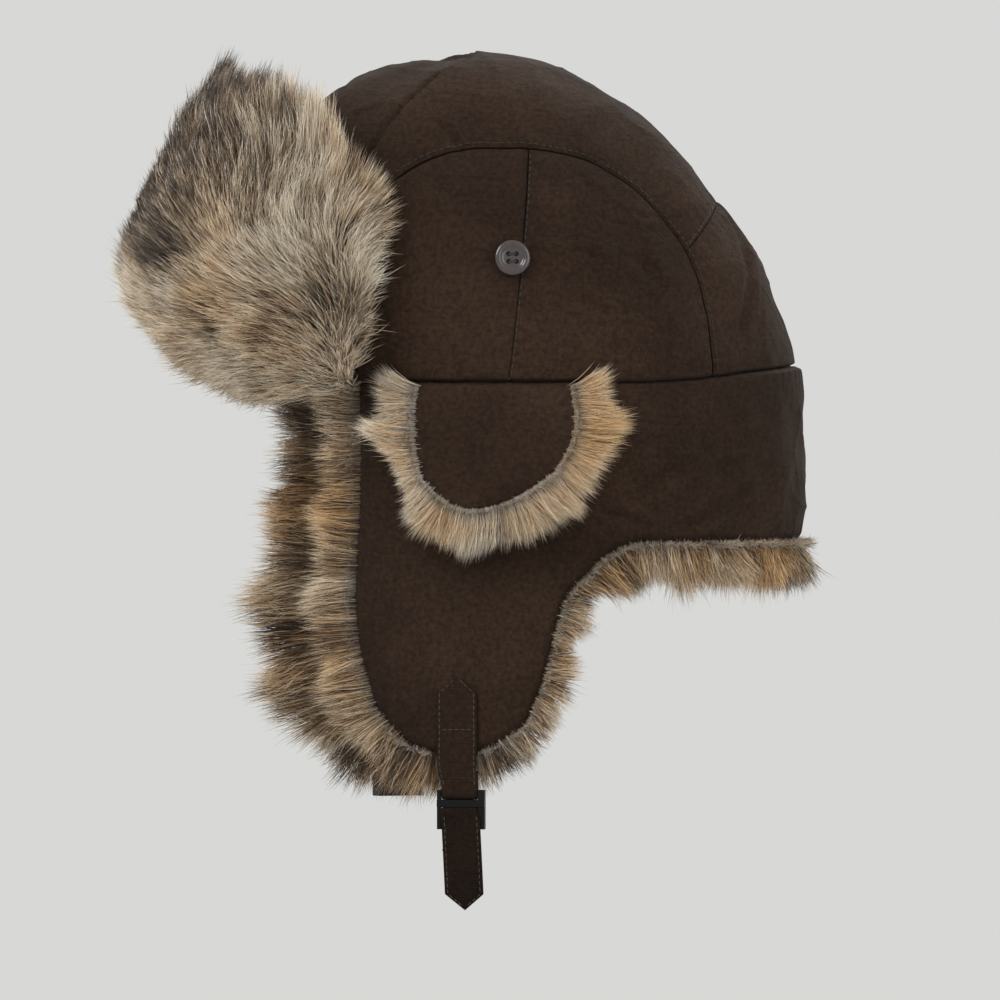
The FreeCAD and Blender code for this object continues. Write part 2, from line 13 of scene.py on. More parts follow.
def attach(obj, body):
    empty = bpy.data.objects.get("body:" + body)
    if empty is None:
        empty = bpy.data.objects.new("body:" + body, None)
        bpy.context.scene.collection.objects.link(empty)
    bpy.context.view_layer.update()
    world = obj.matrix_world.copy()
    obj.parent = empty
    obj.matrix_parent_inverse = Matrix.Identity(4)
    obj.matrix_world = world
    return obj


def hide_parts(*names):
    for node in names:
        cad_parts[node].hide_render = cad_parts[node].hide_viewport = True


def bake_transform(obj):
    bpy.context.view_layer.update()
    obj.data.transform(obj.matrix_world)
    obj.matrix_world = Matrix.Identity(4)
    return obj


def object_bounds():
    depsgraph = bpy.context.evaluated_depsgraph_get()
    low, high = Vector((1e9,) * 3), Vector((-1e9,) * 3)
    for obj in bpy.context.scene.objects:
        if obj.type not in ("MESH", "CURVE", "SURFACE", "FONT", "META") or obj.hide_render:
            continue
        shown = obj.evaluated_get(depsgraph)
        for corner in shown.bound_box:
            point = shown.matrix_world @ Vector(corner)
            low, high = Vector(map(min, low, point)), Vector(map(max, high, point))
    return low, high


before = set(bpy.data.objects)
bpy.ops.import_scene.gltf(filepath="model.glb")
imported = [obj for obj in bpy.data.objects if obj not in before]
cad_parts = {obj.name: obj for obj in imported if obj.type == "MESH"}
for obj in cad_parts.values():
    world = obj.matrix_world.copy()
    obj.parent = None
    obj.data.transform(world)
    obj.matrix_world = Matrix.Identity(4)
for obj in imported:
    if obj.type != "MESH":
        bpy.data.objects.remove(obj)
CAD_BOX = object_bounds()

MM = 0.001

# Driving dimensions, as in the CAD source
HALF_LENGTH = 130.0
HALF_WIDTH = 97.0
CROWN_HEIGHT = 165.0
CROWN_LEAN = 0.30
ROUNDNESS = 2.2
ARC_CENTRE = -33.5
ARC_REAR = 107.0
ARC_FRONT = 85.0
ARC_HEIGHT = 116.0
ARC_ROUNDNESS = 2.4
CROSS_SEAM_ANGLE = 38.5
SEAM_FOOT = -31.5
SEAM_RISE = 13.5
SKIRT_TOP = -0.5
HEM = -80.0
EAR_CENTRE = -59.5
EAR_BOTTOM = -184.0
COVER_CENTRE = -37.5
VENT = (-38.0, -32.0, 11.0, 15.0)    # Y, Z, half width, half height
FLAP_SPAN = 42.0
FLAP_BASE = 4.0
FLAP_STAND_OFF = 2.5
FLAP_HEIGHT = 124.0
FLAP_END_HEIGHT = 74.0
FLAP_REACH = 95.0                    # its length round the forehead, from the middle to an end
BUTTON = (-29.4, 61.0)
STRAP_Y = -56.5
LEFT_TAB_TIP = -145.5                # Z of the points of the strap tabs and of the free end
RIGHT_TAB_TIP = -125.5
TAIL_TIP = -262.0
TAB_POINT = 9.0                      # height of a tab's point
TAB_LENGTH = 40.0
TAB_SEAM = 27.0                      # from a tab's point down to the stitches across it
HALF_STRAP = 9.8
TAIL_EDGES = (-7.6, 11.8)            # Y of the free end's two edges, in the straps' frame
HOLE_OFFSET = 1.9

REAR_LINE = -1.5        # Y of the line where ear flap turns into side curtain
REAR_DROP = -106.0      # and how far down the two are one
CUT_LINE = 80.0         # Y where the skirt's side piece ends and its neck piece starts
CLOTH = 5.3             # shell and wadding together
LINING_TOP = 5.9        # depth of the lining's two faces under the crown's surface
LINING_BOTTOM = 6.7
SEAM_GAP = 0.3          # how far a crown panel's edge stays inside its seam


# Numbers and curves --------------------------------------------------------------------

def unit(v):
    """Vectors scaled to a length of 1."""
    return v / np.maximum(np.linalg.norm(v, axis=-1, keepdims=True), 1e-9)


def power(value, exponent):
    """A power that keeps the sign."""
    return np.sign(value) * np.abs(value) ** exponent


def smooth(low, high, value):
    """A soft step, from 0 at low to 1 at high."""
    t = np.clip((value - low) / (high - low), 0, 1)
    return t * t * (3 - 2 * t)


def lengths(line):
    """Length along a line, up to each of its points."""
    steps = np.linalg.norm(np.diff(line, axis=0), axis=1)
    return np.concatenate([[0], np.cumsum(steps)])


def at_length(place, reach, line):
    """Points of a line, or values given at its points, where its length is place."""
    return np.stack([np.interp(place, reach, column) for column in line.T], -1)


def uneven_wave(length, wave, swing, drift, phase=0.0):
    """A sine along a length, whose spacing wanders."""
    return np.sin(2 * np.pi * length / wave + swing * np.sin(length / drift + phase))


def beside(distance, reach, start):
    """Share of a pucker at a distance from its seam: none on the seam, most beside it."""
    return np.exp(-distance / reach) * (1 - np.exp(-(distance / start) ** 2))


def edge_roll(edge, radius):
    """How far a padded edge rounds over, at a distance inside it."""
    inside = 1 - np.clip(edge / radius, 0, 1)
    return radius * (1 - np.sqrt(np.maximum(1 - inside ** 2, 0)))


def fold(distance, length, width, depth, fade):
    """A soft crease with raised lips, which fades out at both of its ends."""
    ends = smooth(0, fade, length) * smooth(0, fade, length.max() - length)
    return depth * ends * (0.5 * np.exp(-((distance - 2.2 * width) / width) ** 2)
                           - np.exp(-(distance / width) ** 2))


def curve(points):
    """Natural cubic spline through the points, as a function of 0..1."""
    pts = np.array(points, float)
    t = lengths(pts)
    t = t / t[-1]
    n, h = len(t), np.diff(t)
    left = np.eye(n)
    right = np.zeros_like(pts)
    for i in range(1, n - 1):
        left[i, i - 1:i + 2] = h[i - 1], 2 * (h[i - 1] + h[i]), h[i]
        right[i] = 6 * ((pts[i + 1] - pts[i]) / h[i] - (pts[i] - pts[i - 1]) / h[i - 1])
    bend = np.linalg.solve(left, right)

    def at(u):
        u = np.clip(np.asarray(u, float), 0, 1)
        i = np.clip(np.searchsorted(t, u) - 1, 0, n - 2)
        a, b, w = (t[i + 1] - u)[..., None], (u - t[i])[..., None], h[i][..., None]
        return ((bend[i] * a ** 3 + bend[i + 1] * b ** 3) / (6 * w)
                + (pts[i] / w - bend[i] * w / 6) * a
                + (pts[i + 1] / w - bend[i + 1] * w / 6) * b)
    return at


def coons(top, bottom, left, right):
    """The flat patch that four boundary curves enclose, as a function of (u, v)."""
    def at(u, v):
        a, b = np.asarray(u, float)[..., None], np.asarray(v, float)[..., None]
        corners = ((1 - a) * (1 - b) * top(0) + a * (1 - b) * top(1)
                   + (1 - a) * b * bottom(0) + a * b * bottom(1))
        return (1 - b) * top(u) + b * bottom(u) + (1 - a) * left(v) + a * right(v) - corners
    return at


def ripples(points, wavelength, seed, count=24):
    """A smooth random field, about -1 to 1, that varies over roughly one wavelength."""
    rng = np.random.default_rng(seed)
    turns = unit(rng.normal(size=(count, points.shape[-1])))
    rate = 2 * np.pi / (wavelength * rng.uniform(0.7, 1.5, count))
    phase = rng.uniform(0, 2 * np.pi, count)
    total = np.zeros(points.shape[:-1])
    for k in range(count):
        total += np.sin(points @ (turns[k] * rate[k]) + phase[k])
    return total / math.sqrt(count)


def creases(points, wavelength, seed):
    """Thin random ridges, 0 to 1, along the zero lines of a random field."""
    return (1 - np.clip(np.abs(ripples(points, wavelength, seed)), 0, 1)) ** 5


def nearest(points, line):
    """Distance to a line of points, and how far along the line the nearest one is."""
    flat = points.reshape(-1, points.shape[-1])
    length = lengths(line)
    distance, index = np.empty(len(flat)), np.empty(len(flat), int)
    for first in range(0, len(flat), 4000):
        part = flat[first:first + 4000]
        squares = ((part[:, None, :] - line[None]) ** 2).sum(-1)
        index[first:first + 4000] = squares.argmin(1)
        distance[first:first + 4000] = np.sqrt(squares.min(1))
    return distance.reshape(points.shape[:-1]), length[index].reshape(points.shape[:-1])


# Outer surfaces, in millimetres --------------------------------------------------------

TURN = np.radians(np.linspace(-90, 90, 3601))
PLAN = np.stack([HALF_WIDTH * power(np.cos(TURN), 2 / ROUNDNESS),
                 HALF_LENGTH * power(np.sin(TURN), 2 / ROUNDNESS)], 1)
ALONG = lengths(PLAN)
ALONG = ALONG - np.interp(0, PLAN[:, 1], ALONG)
BACK = ALONG[-1]        # the skirt's length from the wearer's left to the centre back


def along(y):
    """Length along the skirt's left side from Y = 0 to the given Y."""
    return np.interp(y, PLAN[:, 1], ALONG)


def plan_normal(x, y):
    """Outward normals of the hat's plan, which are level."""
    return unit(np.stack([power(x, ROUNDNESS - 1) / HALF_WIDTH ** ROUNDNESS,
                          power(y, ROUNDNESS - 1) / HALF_LENGTH ** ROUNDNESS,
                          np.zeros_like(x)], -1))


def skirt(flat, depth=0.0):
    """Points and outward normals on the skirt's left side, from (length, Z) pairs."""
    x = np.interp(flat[..., 0], ALONG, PLAN[:, 0])
    y = np.interp(flat[..., 0], ALONG, PLAN[:, 1])
    normal = plan_normal(x, y)
    return np.stack([x, y, flat[..., 1]], -1) - normal * np.asarray(depth)[..., None], normal


def crown_half_width(y, z):
    """Half the crown's width at a place in side view."""
    rest = (1 - np.abs((y + CROWN_LEAN * z) / HALF_LENGTH) ** ROUNDNESS
            - np.abs(z / CROWN_HEIGHT) ** ROUNDNESS)
    return HALF_WIDTH * np.maximum(rest, 0) ** (1 / ROUNDNESS)


def crown_normal(p):
    """Outward normals of the crown's surface, level at its hem."""
    x, y, z = p[..., 0], p[..., 1], p[..., 2]
    across = power(x, ROUNDNESS - 1) / HALF_WIDTH ** ROUNDNESS
    ahead = power(y + CROWN_LEAN * z, ROUNDNESS - 1) / HALF_LENGTH ** ROUNDNESS
    rise = power(z, ROUNDNESS - 1) / CROWN_HEIGHT ** ROUNDNESS + CROWN_LEAN * ahead
    return unit(np.stack([across, ahead, rise * np.clip(z / 40, 0, 1)], -1))


def arc_radius(angle):
    """Radius of the side panel's arc at an angle, found by halving."""
    low, high = np.zeros_like(angle), np.full_like(angle, 250.0)
    sin, cos = np.sin(np.radians(angle)), np.cos(np.radians(angle))
    for _ in range(40):
        middle = (low + high) / 2
        z = middle * sin
        y = middle * cos - CROWN_LEAN * z - ARC_CENTRE
        half = np.where(y > 0, ARC_REAR, ARC_FRONT)
        inside = (np.abs(y / half) ** ARC_ROUNDNESS
                  + np.abs(z / ARC_HEIGHT) ** ARC_ROUNDNESS) < 1
        low, high = np.where(inside, middle, low), np.where(inside, high, middle)
    return low


def arc_at(angle, shrink=0.0):
    """(Y, Z) of the side panel's arc: angle 0 at the nape side, 180 at the face side."""
    angle = np.asarray(angle, float)
    radius = arc_radius(angle) - shrink
    z = radius * np.sin(np.radians(angle))
    return np.stack([radius * np.cos(np.radians(angle)) - CROWN_LEAN * z, z], -1)


def on_crown(flat):
    """Points on the crown's left side above (Y, Z)."""
    return np.stack([crown_half_width(flat[..., 0], flat[..., 1]),
                     flat[..., 0], flat[..., 1]], -1)


def strip_point(angle, across, margin=SEAM_GAP):
    """On the centre strip: angle 0 at the nape, 180 at the forehead, across -1..1."""
    sin, cos = np.sin(np.radians(angle)), np.cos(np.radians(angle))
    radius = arc_radius(angle)
    z = radius * sin
    x = across * (crown_half_width(radius * cos - CROWN_LEAN * z, z) - margin)
    spread = np.abs(cos / HALF_LENGTH) ** ROUNDNESS + np.abs(sin / CROWN_HEIGHT) ** ROUNDNESS
    reach = ((1 - np.abs(x / HALF_WIDTH) ** ROUNDNESS) / spread) ** (1 / ROUNDNESS)
    return np.stack([x, reach * cos - CROWN_LEAN * reach * sin, reach * sin], -1)


def seam_y(z):
    """Y of the seam between a side's two panels, at a height."""
    return SEAM_FOOT + SEAM_RISE * z / ARC_HEIGHT


def flap_height(across):
    """Height of the front flap's edge, lowest at its two ends."""
    return FLAP_END_HEIGHT + (FLAP_HEIGHT - FLAP_END_HEIGHT) * (1 - np.abs(across) ** 4.5)


def flap_point(across, rise):
    """On the front flap's back: across -1..1 from right to left, rise 0..1."""
    turn = np.radians(-90 + FLAP_SPAN * across)
    x = HALF_WIDTH * power(np.cos(turn), 2 / ROUNDNESS)
    y = HALF_LENGTH * power(np.sin(turn), 2 / ROUNDNESS)
    out = plan_normal(x, y)
    height = flap_height(across)
    bulge = 12 + 47 * np.maximum(0, 1 - across ** 2)
    lean = bulge * np.sin(np.radians(153) * np.maximum(rise, 0) ** 0.75)
    foot = np.stack([x, y - CROWN_LEAN * FLAP_BASE, np.full_like(x, FLAP_BASE)], -1)
    up = np.stack([np.zeros_like(x), np.zeros_like(x), height * rise], -1)
    return foot + out * (FLAP_STAND_OFF + lean)[..., None] + up


def flap_frame(across, rise):
    """Outward normal and the two directions along the front flap: across, and up."""
    step = 0.01
    low = np.maximum(rise - step, 0)
    side = flap_point(across + step, rise) - flap_point(across - step, rise)
    up = unit(flap_point(across, rise + step) - flap_point(across, low))
    normal = unit(np.cross(side, up))
    return normal, unit(side), up


# Meshes --------------------------------------------------------------------------------

def settled(points):
    """The seam between crown and skirt rides up a little towards the back."""
    rise = 8.0 * smooth(30, 150, points[:, 1]) * np.exp(-(points[:, 2] / 24) ** 2)
    return points + rise[:, None] * np.array([0, 0, 1.0])


def new_object(name, vertices, faces, material, uv=None):
    """A smooth-shaded object from millimetre points and equal-sided faces."""
    vertices = settled(vertices)
    mesh = bpy.data.meshes.new(name)
    count, sides = faces.shape
    mesh.vertices.add(len(vertices))
    mesh.vertices.foreach_set("co", (vertices * MM).astype(np.float32).ravel())
    mesh.loops.add(count * sides)
    mesh.loops.foreach_set("vertex_index", faces.astype(np.int32).ravel())
    mesh.polygons.add(count)
    mesh.polygons.foreach_set("loop_start", np.arange(0, count * sides, sides, dtype=np.int32))
    if uv is not None:
        layer = mesh.uv_layers.new(name="OFBake")
        layer.data.foreach_set("uv", uv.astype(np.float32).ravel())
    mesh.update(calc_edges=True)
    mesh.shade_smooth()
    mesh.materials.append(material)
    obj = bpy.data.objects.new(name, mesh)
    bpy.context.scene.collection.objects.link(obj)
    return obj


def slab(outer, inner, open_sides=""):
    """Vertices and quads of a body between two grids. open_sides: of first, last, top, bottom."""
    nu, nv = outer.shape[:2]
    index = np.arange(nu * nv).reshape(nu, nv)
    quads = np.stack([index[:-1, :-1], index[1:, :-1], index[1:, 1:], index[:-1, 1:]],
                     -1).reshape(-1, 4)
    faces = [quads, quads[:, ::-1] + nu * nv]
    edges = {"f": index[0], "l": index[-1], "t": index[:, 0], "b": index[:, -1]}
    for side, line in edges.items():
        if side not in open_sides:
            a, b = line[:-1], line[1:]
            faces.append(np.stack([a, b, b + nu * nv, a + nu * nv], -1))
    return np.concatenate([outer.reshape(-1, 3), inner.reshape(-1, 3)]), np.concatenate(faces)


def join(parts):
    """One set of vertices and faces from several."""
    vertices, faces, first = [], [], 0
    for v, f in parts:
        vertices.append(v)
        faces.append(f + first)
        first += len(v)
    return np.concatenate(vertices), np.concatenate(faces)


def cloth_object(name, parts, material):
    """Closed sewn piece: the parts' shared points are welded and its faces point outwards."""
    obj = new_object(name, *join(parts), material)
    bm = bmesh.new()
    bm.from_mesh(obj.data)
    bmesh.ops.remove_doubles(bm, verts=bm.verts, dist=0.00002)
    bmesh.ops.recalc_face_normals(bm, faces=bm.faces)
    bm.to_mesh(obj.data)
    bm.free()
    obj.data.shade_smooth()
    obj.data.set_sharp_from_angle(angle=math.radians(60))
    return obj


def lining(grid):
    """Work out the size that a thin lining's cloth was cut to, and its area, which are not kept.
    """
    along_u = np.linalg.norm(np.diff(grid, axis=0), axis=-1).sum(0).max()
    along_v = np.linalg.norm(np.diff(grid, axis=1), axis=-1).sum(1).max()
    a, b = grid[1:, 1:] - grid[:-1, :-1], grid[:-1, 1:] - grid[1:, :-1]
    area = np.linalg.norm(np.cross(a, b), axis=-1).sum() / 2
    flat = (along_v * MM, along_u * MM)
    area = min(area * MM * MM, flat[0] * flat[1])


def mirrored(obj, name):
    """Copy of a left piece for the wearer's right."""
    copy = obj.copy()
    copy.name = name
    copy.data = obj.data.copy()
    co = np.empty(len(copy.data.vertices) * 3, np.float32)
    copy.data.vertices.foreach_get("co", co)
    co[::3] *= -1
    copy.data.vertices.foreach_set("co", co)
    copy.data.flip_normals()
    bpy.context.scene.collection.objects.link(copy)
    return copy


def both(obj, follow, *nodes, fill=None):
    """Name a left piece and its mirror image, and hand each, with its side, to follow.

    nodes are the CAD nodes that they stand for, with SIDE in place of left or right.
    """
    base = obj.name
    obj.name = "left_" + base
    other = mirrored(obj, "right_" + base)
    for piece, side, sign in ((obj, "left", 1), (other, "right", -1)):
        if nodes:
            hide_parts(*[node.replace("SIDE", side) for node in nodes])
        follow(piece, side, sign)


def ride_crown(piece, side, sign):
    """Move with the crown."""
    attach(piece, "crown")


def wrapped(rings, sides):
    """Quads between rings of points that close on themselves."""
    index = np.arange(rings * sides).reshape(rings, sides)
    turned = np.roll(index, -1, axis=1)
    return np.stack([index[:-1], turned[:-1], turned[1:], index[1:]], -1).reshape(-1, 4)


def stitches(path, normals, length=2.6, gap=0.9, radius=0.28, sink=0.1):
    """Vertices and quads of a row of stitches along a path on the cloth."""
    reach = lengths(path)
    count = max(1, int(reach[-1] / (length + gap)))
    starts = (np.arange(count) + 0.15) * reach[-1] / count
    shape = ((0.0, 0.15, -0.5), (0.12, 0.8, 0.0), (0.35, 1.0, 0.25), (0.65, 1.0, 0.25),
             (0.88, 0.8, 0.0), (1.0, 0.15, -0.5))       # share of the length, radius, lift
    sides = 6
    rings = []
    for share, thick, lift in shape:
        place = starts + share * length
        centre = at_length(place, reach, path)
        ahead = at_length(place + 0.3, reach, path)
        normal = unit(at_length(place, reach, normals))
        forward = unit(ahead - centre + 1e-9)
        side = unit(np.cross(forward, normal))
        centre = centre + normal * (lift * radius - sink)
        for k in range(sides):
            turn = 2 * math.pi * k / sides
            rings.append(centre + radius * thick * (side * math.cos(turn)
                                                    + normal * 0.8 * math.sin(turn)))
    last = sides * (len(shape) - 1)
    caps = [(0, 3, 2, 1), (0, 5, 4, 3), (last, last + 1, last + 2, last + 3),
            (last, last + 3, last + 4, last + 5)]
    one = np.concatenate([wrapped(len(shape), sides), caps])
    first = np.arange(count) * len(rings)
    return np.stack(rings, 1).reshape(-1, 3), (first[:, None, None] + one).reshape(-1, 4)


# Materials -----------------------------------------------------------------------------

def linear(r, g, b):
    """Linear colour from 0..255 display values."""
    out = [(c / 255 / 12.92) if c <= 10 else ((c / 255 + 0.055) / 1.055) ** 2.4
           for c in (r, g, b)]
    return (*out, 1.0)


class Nodes:
    """Short ways to add and join shader nodes."""

    def __init__(self, name):
        self.material = bpy.data.materials.new(name)
        self.material.use_nodes = True
        self.tree = self.material.node_tree
        self.shader = self.tree.nodes["Principled BSDF"]

    def feed(self, socket, value):
        """Give a socket a constant, or another node's output."""
        if isinstance(value, bpy.types.NodeSocket):
            self.tree.links.new(value, socket)
        else:
            socket.default_value = value

    def add(self, kind, inputs=None, **settings):
        node = self.tree.nodes.new("ShaderNode" + kind)
        for key, value in settings.items():
            setattr(node, key, value)
        for key, value in (inputs or {}).items():
            self.feed(node.inputs[key], value)
        return node

    def place(self):
        return self.add("TexCoord").outputs["Object"]

    def noise(self, where, scale, detail=3.0, rough=0.55):
        return self.add("TexNoise", {"Vector": where, "Scale": scale, "Detail": detail,
                                     "Roughness": rough}).outputs["Fac"]

    def ramp(self, factor, *stops):
        node = self.add("ValToRGB", {"Fac": factor})
        band = node.color_ramp
        while len(band.elements) < len(stops):
            band.elements.new(0.5)
        for element, (position, colour) in zip(band.elements, stops):
            element.position = position
            element.color = colour
        return node.outputs["Color"]

    def value(self, factor, low, high, to_low, to_high):
        return self.add("MapRange", {"Value": factor, "From Min": low, "From Max": high,
                                     "To Min": to_low, "To Max": to_high}).outputs["Result"]

    def mix(self, factor, a, b, blend="MIX"):
        return self.add("Mix", {0: factor, 6: a, 7: b}, data_type="RGBA",
                        blend_type=blend).outputs[2]

    def math(self, kind, a, b=0.0):
        return self.add("Math", {0: a, 1: b}, operation=kind).outputs[0]

    def bump(self, height, strength, distance, under=None):
        inputs = {"Height": height, "Strength": strength, "Distance": distance}
        if under is not None:
            inputs["Normal"] = under
        return self.add("Bump", inputs).outputs["Normal"]

    def finish(self, colour, normal=None, **constants):
        self.feed(self.shader.inputs["Base Color"], colour)
        if normal is not None:
            self.feed(self.shader.inputs["Normal"], normal)
        for key, value in constants.items():
            self.shader.inputs[key.replace("_", " ")].default_value = value
        return self.material


def woven(name, dark, light, thread=1000.0, crinkle=0.5, sheen=0.03, rough=0.82):
    """Matt woven cloth: fine twill, soft crinkles and slightly uneven dye."""
    n = Nodes(name)
    where = n.place()
    patches = n.noise(where, 15, 2, 0.5)
    fine = n.noise(where, 420, 2, 0.6)
    colour = n.mix(n.value(patches, 0.35, 0.65, 0, 1), dark, light)
    speck = n.value(fine, 0.3, 0.7, 0.66, 1.34)
    grain = n.add("CombineColor", {"Red": speck, "Green": speck, "Blue": speck})
    colour = n.mix(1.0, colour, grain.outputs[0], "MULTIPLY")
    twill = n.add("TexWave", {"Vector": where, "Scale": thread, "Distortion": 0.6,
                              "Detail": 1.0}, bands_direction="DIAGONAL").outputs["Fac"]
    cross = n.add("TexWave", {"Vector": where, "Scale": thread * 0.6, "Distortion": 0.5},
                  bands_direction="Z").outputs["Fac"]
    weave = n.math("ADD", twill, cross)
    soft = n.noise(where, 95, 4, 0.55)
    long_way = n.add("Mapping", {"Vector": where, "Scale": (55.0, 55.0, 420.0)})
    rows = n.noise(long_way.outputs["Vector"], 1.0, 3, 0.6)
    normal = n.bump(soft, crinkle, 0.0014)
    normal = n.bump(rows, 0.8, 0.0012, normal)
    normal = n.bump(weave, 0.6, 0.0003, normal)
    return n.finish(colour, normal, Roughness=rough, Sheen_Weight=sheen,
                    Sheen_Roughness=0.5, Specular_IOR_Level=0.12)


TONES = 8               # columns in each block of the hair's palette, from pale to dark
BLOCKS = 4              # blocks of the palette, from grey to tawny


def hair(name):
    """Rabbit hair. Its UV map is a palette: V runs from root to tip, and U picks the tone.

    U holds BLOCKS blocks from grey to tawny, each with TONES tones from pale to near black.
    """
    n = Nodes(name)
    uv = n.add("UVMap", uv_map="OFBake").outputs["UV"]
    split = n.add("SeparateXYZ", {"Vector": uv})
    u, v = split.outputs["X"], split.outputs["Y"]
    blocks = n.math("MULTIPLY", u, BLOCKS)
    warmth = n.math("DIVIDE", n.math("FLOOR", blocks), BLOCKS - 1)
    tone = n.math("FRACT", blocks)
    root = n.ramp(tone, (0.0, linear(178, 173, 168)), (0.5, linear(140, 132, 125)),
                  (1.0, linear(78, 70, 63)))
    band = n.ramp(tone, (0.0, linear(232, 216, 192)), (0.45, linear(176, 154, 126)),
                  (0.75, linear(106, 84, 62)), (1.0, linear(48, 37, 28)))
    tip = n.ramp(tone, (0.0, linear(255, 249, 234)), (0.35, linear(232, 211, 180)),
                 (0.6, linear(134, 107, 78)), (0.8, linear(52, 40, 30)),
                 (1.0, linear(20, 15, 12)))
    colour = n.mix(n.value(v, 0.14, 0.42, 0, 1), root, band)
    colour = n.mix(n.value(v, 0.56, 0.86, 0, 1), colour, tip)
    tawny = n.mix(1.0, colour, (1.04, 0.78, 0.48, 1.0), "MULTIPLY")
    colour = n.mix(warmth, colour, tawny)
    return n.finish(colour, Roughness=0.52, Specular_IOR_Level=0.35, Sheen_Weight=0.15)


def undercoat(name, dark, light):
    """Dense short wool under the guard hairs. Its dark colour is partly the wool's own and partly
    painted shade between the strands.
    """
    n = Nodes(name)
    where = n.place()
    colour = n.mix(n.value(n.noise(where, 130, 4, 0.7), 0.35, 0.65, 0, 1), dark, light)
    normal = n.bump(n.noise(where, 700, 3, 0.7), 0.9, 0.0012)
    return n.finish(colour, normal, Roughness=0.9, Sheen_Weight=0.3)


def moulded(name, dark, light, rough, grain=0.05, coat=0.0, shine=0.5):
    """Moulded plastic with a faint flow pattern and a fine grain."""
    n = Nodes(name)
    where = n.place()
    swirl = n.add("TexNoise", {"Vector": where, "Scale": 160.0, "Detail": 3.0,
                               "Distortion": 1.5}).outputs["Fac"]
    colour = n.mix(n.value(swirl, 0.3, 0.7, 0, 1), dark, light)
    normal = n.bump(n.noise(where, 1500, 2), grain, 0.0002)
    return n.finish(colour, normal, Roughness=rough, Coat_Weight=coat, Coat_Roughness=0.12,
                    Specular_IOR_Level=shine)


def thread_material(name, dark, light):
    """Twisted thread or cord."""
    n = Nodes(name)
    where = n.place()
    ply = n.add("TexWave", {"Vector": where, "Scale": 700.0, "Distortion": 1.0},
                bands_direction="DIAGONAL").outputs["Fac"]
    colour = n.mix(ply, dark, light)
    return n.finish(colour, n.bump(ply, 0.6, 0.0002), Roughness=0.7, Sheen_Weight=0.3)


SHELL = woven("shell_cloth", linear(47, 33, 24), linear(60, 44, 33), crinkle=0.75)
LINING = woven("lining_cloth", linear(36, 30, 27), linear(48, 40, 36), 1600, 0.2, 0.05, 0.5)
STRAP = woven("strap_cloth", linear(43, 30, 20), linear(51, 37, 27), 700, 0.15)
TAIL = woven("tail_cloth", linear(27, 17, 10), linear(36, 24, 15), 700, 0.15)
HAIR = hair("rabbit_hair")
# The wool's dark brown is partly its own colour and partly painted shade between the strands.
WOOL_AND_SHADE = undercoat("rabbit_wool_and_shade", linear(46, 37, 30), linear(88, 74, 60))
SEAM_THREAD = thread_material("seam_thread", linear(20, 15, 11), linear(35, 27, 20))
STRAP_THREAD = thread_material("strap_thread", linear(48, 38, 30), linear(74, 61, 50))
BUTTON_THREAD = thread_material("button_thread", linear(30, 24, 24), linear(48, 39, 39))
BUTTON_PLASTIC = moulded("button_plastic", linear(44, 31, 32), linear(60, 46, 46), 0.22,
                         0.02, 1.0)
BLACK_PLASTIC = moulded("buckle_plastic", linear(4, 4, 5), linear(9, 9, 9), 0.40, 0.12,
                        shine=0.22)
ELASTIC = thread_material("elastic_cord", linear(30, 24, 21), linear(58, 48, 42))


# Crown ---------------------------------------------------------------------------------

ARC_LINE = on_crown(arc_at(np.linspace(0, 180, 500)))
CROSS_LINE = strip_point(np.full(160, CROSS_SEAM_ANGLE), np.linspace(-1, 1, 160))
SEAM_TOP = float(np.degrees(np.arctan2(ARC_HEIGHT, seam_y(ARC_HEIGHT)
                                       + CROWN_LEAN * ARC_HEIGHT)))
SEAM_END = arc_at(SEAM_TOP)
SEAM_Z = np.linspace(0, SEAM_END[1], 200)
SIDE_LINE = on_crown(np.stack([SEAM_FOOT + (SEAM_END[0] - SEAM_FOOT) * SEAM_Z / SEAM_END[1],
                               SEAM_Z], -1))

# Where the front of the crown folds over itself: Y of the fold at each Z
FOLD_Z = (100, 116, 128, 138, 153, 163, 170)
FOLD_Y = (-99, -92, -84, -75, -57, -37, -18)

# Creases in the crown's cloth: (Y, Z) points, width and depth
FOLDS = (
    (((-66, 133), (-58, 123), (-51, 112)), 2.0, 1.7),
    (((-6, 112), (10, 96), (22, 88)), 2.4, 0.8),
    (((18, 90), (32, 83), (50, 80)), 2.0, 1.0),
    (((24, 82), (38, 76), (52, 74)), 1.8, 0.8),
    (((-4, 70), (14, 60), (34, 58)), 2.6, 0.9),
    (((36, 70), (41, 48), (42, 24)), 3.2, 1.3),
    (((-4, 44), (10, 38), (24, 30)), 2.4, 1.0),
    (((20, 64), (38, 56), (52, 40)), 3.0, 0.9),
    (((78, 98), (93, 72), (96, 48), (89, 18)), 3.6, 1.9),
    (((12, 100), (28, 70), (30, 40)), 7.0, 0.7),
    (((-84, 40), (-60, 30), (-38, 34)), 6.0, 0.6),
    (((46, 96), (60, 60), (72, 28)), 6.0, 0.7),
)


def pull(points, seam, depth, width, seed, pucker=0.35):
    """Distance to a seam, and its groove with short puckers that run away from it."""
    distance, length = nearest(points, seam)
    wave = uneven_wave(length, 7.5, 2.2, 23.0, seed)
    size = 0.6 + 0.4 * np.sin(length / 31.0 + 2 * seed)
    ridge = wave * size * pucker * beside(distance, 7, 1.2)
    return distance, ridge - depth * np.exp(-(distance / width) ** 2)


def crown_dip(points):
    """How far the slack front and back of the crown sink in, in millimetres."""
    y, z = points[..., 1], points[..., 2]
    ahead = np.interp(z, FOLD_Z, FOLD_Y) - y
    step = 4.0 * smooth(-0.5, 3.0, ahead) + 1.7 * np.exp(-((ahead - 3.6) / 1.7) ** 2)
    front = step * smooth(96, 114, z) + 4.2 * smooth(0, 26, ahead) * smooth(98, 134, z)
    top = 2.4 * np.exp(-((y + 38) / 22) ** 2) * smooth(136, 160, z)
    back = 2.8 * smooth(58, 110, y) * smooth(64, 8, z)
    return front + top + back


